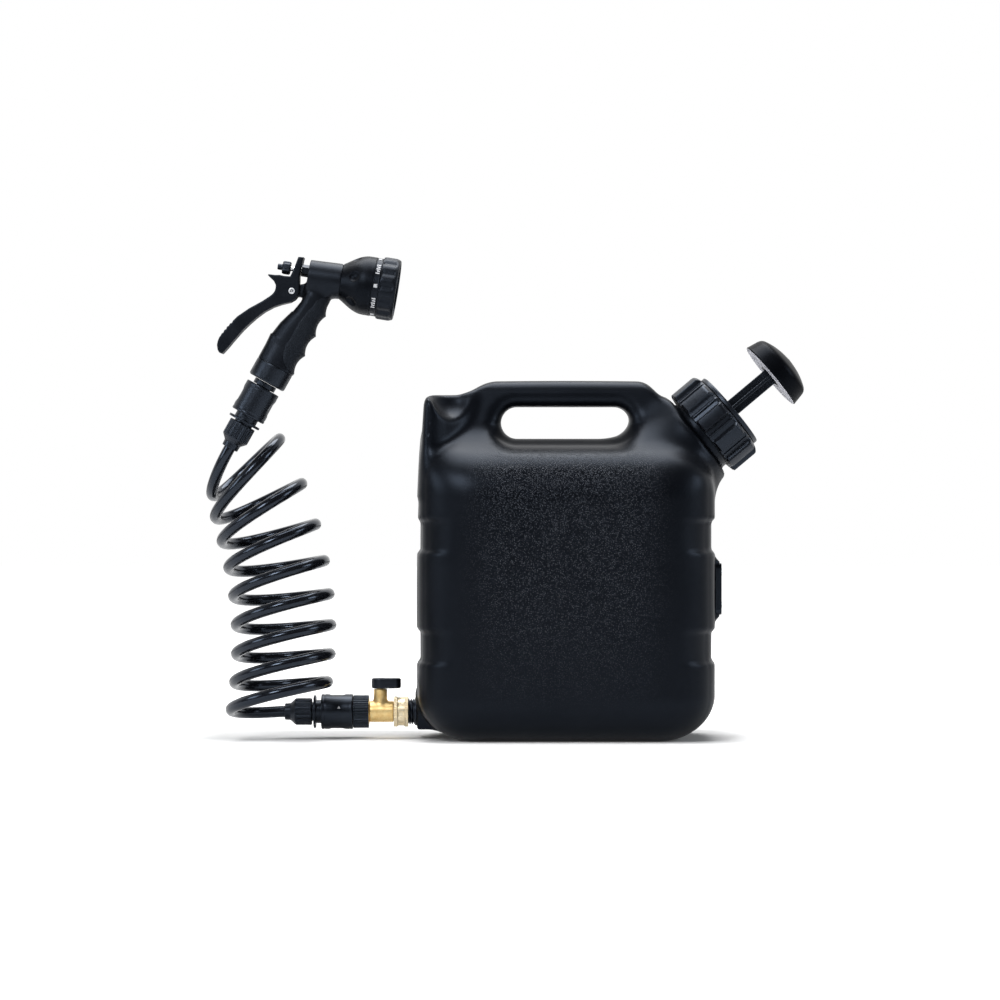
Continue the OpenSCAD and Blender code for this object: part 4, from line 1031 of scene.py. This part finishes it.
def tank_field(points):
    """All the tank's parts, each with its own round. Both faces are alike: y is from the middle."""
    x, y, z = np.moveaxis(points, -1, 0)
    y = np.abs(y)
    pump = (points - PUMP[0] / MM) @ PUMP[1].T
    about, along = np.hypot(pump[..., 0], pump[..., 1]), pump[..., 2]
    body = tank_box(x, y, z) + tank_grooves(x, z)
    body = common(body, past_plane(y, z, (HALF_D, SHOULDER_Z), (0.565, 0.825)), 26)
    body = common(body, past_plane(x, z, (HALF_W, SHOULDER_Z), (0.6066, 0.795)), 22)
    body = common(body, past_plane(-x, z, (148, 262), LEFT_LEAN), 10)
    body = common(body, z - 308, 12)
    body = join(body, tank_handle(x, y, z), 16)
    column = common(tank_column(x, y, z), tank_box(x, y, np.maximum(z, 60)), 10)
    body = join(body, column, 6)
    body = without(body, thumb_hollow(x, y, z), 5)
    body = without(body, tank_opening(x, y, z), 14)
    boss = np.maximum(np.abs(z - 28.5) - 18.5, y - 20 - 0.1 * (x + 148))
    boss = common(boss, np.maximum(-x - 148.3, x + 92), 3)
    body = join(body, boss, 6)
    ramp = np.abs(z - 149.5) + 1.1 * (x - HALF_W) - 32
    ramp = np.maximum(ramp, np.maximum(x - 153, 120 - x))
    body = join(body, common(ramp * 0.67, y - 20, 3), 2)
    neck = np.maximum(common(about - NECK_R, along + 8.2, 5), -70 - along)
    body = join(body, neck, 18)
    body = join(body, np.maximum(about - SPIGOT_R, np.abs(along + 8) - 31.8), 2)
    body = np.maximum(body, -np.maximum(about - MOUTH_R, -24 - along))
    body = np.maximum(body, -np.maximum(about - PUMP_HOLE_R, -165 - along))
    stub = np.maximum(np.hypot(y, z - OUTLET_Z) - 10.3, x + 124)
    return np.maximum(body, -stub)


# %% Tank
moulded("tank", ORIGIN, tank_field, (-151, -87.5, -2), (184, 87.5, 360), 2.5, "tank_moulding")

# %% [markdown]
# ### Grip, pad and trigger
# The grip is oval in section, with four hollows for the fingers in front and lapped steps behind. Its
# front is wrapped in a rubber pad. The trigger is one moulding: two cheeks that straddle the stem, a
# horn above, and a long arm with ribs near its tip.

# %% Gun body
PIN_DOWN, PIN_REACH = 22.2, -13.4
EAR_DOWN, EAR_REACH = -4.2, 17.4
OVAL = 2.8


def bends(value, stops):
    """Straight lines between stops of place and height."""
    return np.interp(value, *np.array(stops, float).T)


def grip_fore(z):
    """The front of the grip: finger hollows that meet in cusps 22 mm apart, drawn in near the top."""
    hollow = np.abs(np.sin(np.pi * (z - 41.4) / 22)) ** 0.8
    return (20 - 3.6 * hollow) * bends(z, [(62, 1), (86, 0.94), (98, 0.92), (120, 0.62)])


def grip_rear(z):
    """The back of the grip, drawn in towards the top, with two lapped steps."""
    laps = 0.9 * (soft(z, 45.2, 44.4) + soft(z, 74, 73.2))
    back = [(18, 17.1), (33, 17.2), (44.4, 17.9), (58.6, 15.7), (72.7, 11.3), (86, 8.8), (95, 9.2),
            (120, 12)]
    return bends(z, back) + laps


def grip_side(z):
    """Half the thickness of the grip."""
    return 15 * bends(z, [(18, 1.12), (38, 1), (96, 0.95), (120, 0.75)])


def grip_point(z, angle, grow):
    """A point of the grip's skin: cosine and sine, each raised to 0.72, times the half axes."""
    c, s = np.cos(angle), np.sin(angle)
    x = np.sign(c) * np.abs(c) ** 0.72 * (np.where(c > 0, grip_fore(z), grip_rear(z)) + grow)
    y = np.sign(s) * np.abs(s) ** 0.72 * (grip_side(z) + grow)
    return np.stack([x, y, z], -1)


def gun_field(points):
    """Grip, barrel, ear and tail, joined; the bore and the pin's hole taken away."""
    x, y, z = np.moveaxis(points, -1, 0)
    deep = np.where(x > 0, grip_fore(z), grip_rear(z))
    oval = (np.abs(x / deep) ** OVAL + np.abs(y / grip_side(z)) ** OVAL) ** (1 / OVAL)
    grip = np.maximum((oval - 1) * np.minimum(deep, grip_side(z)) * 0.8, 18.05 - z)
    world = to_world(GRIP, points * MM)
    side, _, along = np.moveaxis(to_local(HEAD, world) / MM, -1, 0)
    about = np.hypot(side, y)
    barrel = common(about - 16.3 - 0.036 * along, np.maximum(-along, along - 33.1), 0.8)
    body = join(common(grip, -1 - side, 3), barrel, 5)
    down, _, reach = np.moveaxis(to_local(STEM, world) / MM, -1, 0)
    below, ahead = down - PIN_DOWN, reach - PIN_REACH
    share = (below * EAR_DOWN + ahead * EAR_REACH) / (EAR_DOWN**2 + EAR_REACH**2)
    share = np.clip(share, 0, 1.6)
    ear = np.hypot(below - EAR_DOWN * share, ahead - EAR_REACH * share) - 5.4 - 1.5 * share
    body = join(body, common(ear, np.abs(y) - 5.4, 1), 3)
    body = join(body, np.maximum(np.hypot(x, y) - 12.5, np.abs(z - 11) - 10.8), 0.5)
    body = np.maximum(body, 5.1 - np.hypot(down, y) - 100 * (reach > 12))
    return np.maximum(body, 2.35 - np.hypot(below, ahead))


moulded("gun_body", GRIP, gun_field, (-26, -19, -1), (44, 19, 138), 0.95, "gun_satin")

# %% Grip pad
PAD_FROM, PAD_LENGTH = 19.6, 84
PAD_EDGE = [
    (19.6, 28), (22, 58), (25, 73), (28.3, 83), (34, 90), (40.7, 92.5), (52, 91), (67, 92), (83, 87),
    (95, 79), (99, 66), (102, 46), (103.6, 25),
]


def pad_mesh(name, rows=150, columns=90):
    """A patch round the front of the grip, from one edge to the other, that rises 0.8 mm off the skin
    and sinks into it along its rim."""
    u, v = np.meshgrid(np.linspace(-1, 1, columns), np.linspace(0, 1, rows))
    z = PAD_FROM + PAD_LENGTH * v
    turn = np.radians(bends(z, PAD_EDGE)) * u
    rim = np.minimum((1 - np.abs(u)) * 14, np.minimum(v, 1 - v) * 60)
    grow = -0.5 + 1.35 * soft(rim, 0, 0.8)
    points = to_world(GRIP, grip_point(z, turn, grow).reshape(-1, 3) * MM)
    faces = grid_faces(rows, columns, loop_columns=False)
    mesh = mesh_of(name, points, faces, sharp=70)
    flat = np.stack([0.5 + turn * 0.16, z / 100 - 0.1], -1).reshape(-1, 2)
    layer = mesh.uv_layers.new(name="pad")
    layer.data.foreach_set("uv", flat[faces].astype(np.float32).ravel())
    return mesh


piece(pad_mesh("grip_pad_skin"), "pad_rubber", "grip_pads")

# %% Trigger
TRIGGER = np.array([
    (-12.5, -6.9), (5.8, -8.3), (15.1, -7), (21.5, -6.2), (25.5, -6.6), (29.7, -9), (33.1, -13.2),
    (36.5, -21.5), (40.5, -29), (46.5, -36.8), (53.5, -43.6), (60.5, -49.4), (67.7, -54.8),
    (79.8, -62.4), (87, -66.6), (93.8, -71.2), (93.2, -74.2), (90.8, -76.1), (86, -77.6), (81, -77.3),
    (76.5, -75.9), (66, -70.1), (55.2, -62.2), (45.4, -51.9), (36.8, -40.8), (30.2, -33.5),
    (27.4, -31.2), (24.9, -30), (21.8, -29.6), (18.8, -29.9), (15.1, -32.5), (12.4, -36.6), (10.6, -39),
    (9.4, -38.6), (9.2, -32.7), (8.4, -27.5), (8.7, -23.3), (8.2, -17.2), (0, -14.8), (-12, -12.4),
])
RIBS_AT = (58, -65)
RIB_PITCH = 4.2


def outline_distance(x, y, outline):
    """Distance to a closed outline: to the nearest edge, and below zero where a ray crosses an odd
    number of edges."""
    away, inside = np.full(x.shape, 1e9), np.zeros(x.shape, bool)
    for (ax, ay), (bx, by) in zip(outline, np.roll(outline, -1, 0)):
        ex, ey = bx - ax, by - ay
        t = np.clip(((x - ax) * ex + (y - ay) * ey) / (ex * ex + ey * ey), 0, 1)
        away = np.minimum(away, (x - ax - t * ex) ** 2 + (y - ay - t * ey) ** 2)
        inside ^= ((ay > y) != (by > y)) & (x < ex * (y - ay) / (ey if ey else 1e-9) + ax)
    return np.where(inside, -1, 1) * np.sqrt(away)


def trigger_field(points):
    """The outline, 20 mm wide with soft edges and ribs near the tip, less the fork's slot, the ear's
    room and the pin's hole."""
    x, y, z = np.moveaxis(points, -1, 0)
    run = past_plane(x, z, RIBS_AT, (0.76, -0.65))
    lower = soft(past_plane(x, z, RIBS_AT, (-0.65, -0.76)), -7, -2)
    ribbed = 0.9 * soft(run, 0, 3) * (0.5 + 0.5 * np.cos(run * 2 * np.pi / RIB_PITCH)) * lower
    flat = outline_distance(x, z, TRIGGER) + ribbed * 0.8
    body = common(flat, np.abs(y) - 9.9, 1.0)
    slot = np.maximum(np.abs(y) - 3.1, x - 7)
    about_pin = np.hypot(x - PIN_DOWN, z - PIN_REACH)
    ear = np.minimum(about_pin - 6.5, np.maximum(PIN_REACH - z, np.abs(x - 26) - 20))
    ear = np.maximum(ear, np.abs(y) - 5.8)
    return np.maximum(body, -np.minimum(np.minimum(slot, ear), about_pin - 2.4))


moulded("trigger", STEM, trigger_field, (-14, -11, -81), (97, 11, -4), 0.9, "gun_satin")

# %% Valve body and lever
POST_AT = 36.5
LEVER_REACH = 14.5
LEVER = axes_at(VALVE[0] + [0, 0, 0.0232], (0, 0, 1))


def valve_field(points):
    """The valve's barrel with its post on top, joined with a small round, and the bore for the stem."""
    x, y, z = np.moveaxis(points, -1, 0)
    about, about_post = np.hypot(x, y), np.hypot(y, z - POST_AT)
    barrel = common(about - 10.5, np.maximum(23.4 - z, z - 47.4), 1)
    post = common(about_post - 6.7 - 0.5 * soft(x, 14, 10), np.maximum(x - 22.6, -x), 0.8)
    neck = np.maximum(about - 9, np.abs(z - 22) - 3)
    body = join(join(barrel, post, 2.2), neck, 0.5)
    return np.maximum(body, -np.maximum(about_post - 3.1, 8 - x))


def lever_field(points):
    """A bar that tapers from its hub, rounded all over, with a hole for the screw's head."""
    x, y, z = np.moveaxis(points, -1, 0)
    share = np.clip(x / LEVER_REACH, 0, 1)
    flat = np.hypot(x - LEVER_REACH * share, y) - 8.9 + 2.9 * share
    body = common(flat, np.abs(z - 5.15) - 5.1, 2)
    return np.maximum(body, -np.maximum(np.hypot(x, y) - 4.2, 7.9 - z))


moulded("valve_body", OUT, valve_field, (-12, -12, 17), (24, 12, 49), 0.7, "valve_brass")
moulded("valve_lever", LEVER, lever_field, (-10, -10, -1), (22, 10, 11.5), 0.6, "cap_black")

# %% [markdown]
# ### What stays inside
# Seals, springs, the ball and the pump's barrel are plain turned parts that the others hide. They keep
# the CAD model's shape and take the finish of their slot.

# %% Finishes for the pieces inside
SURFACE_OF = {slot: material for material, slot in FINISHES.values()}
covered = {name for item in bpy.data.objects for name in item.get("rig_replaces", [])}
kept = [part for part in frame["record"]["subparts"] if part["node"] not in covered]
for part in kept:
    skins = frame["nodes"][part["node"]].data.materials
    skins.clear()
    skins.append(SURFACE_OF[part["material_slot"]])
print("kept from the CAD model:", len(kept))
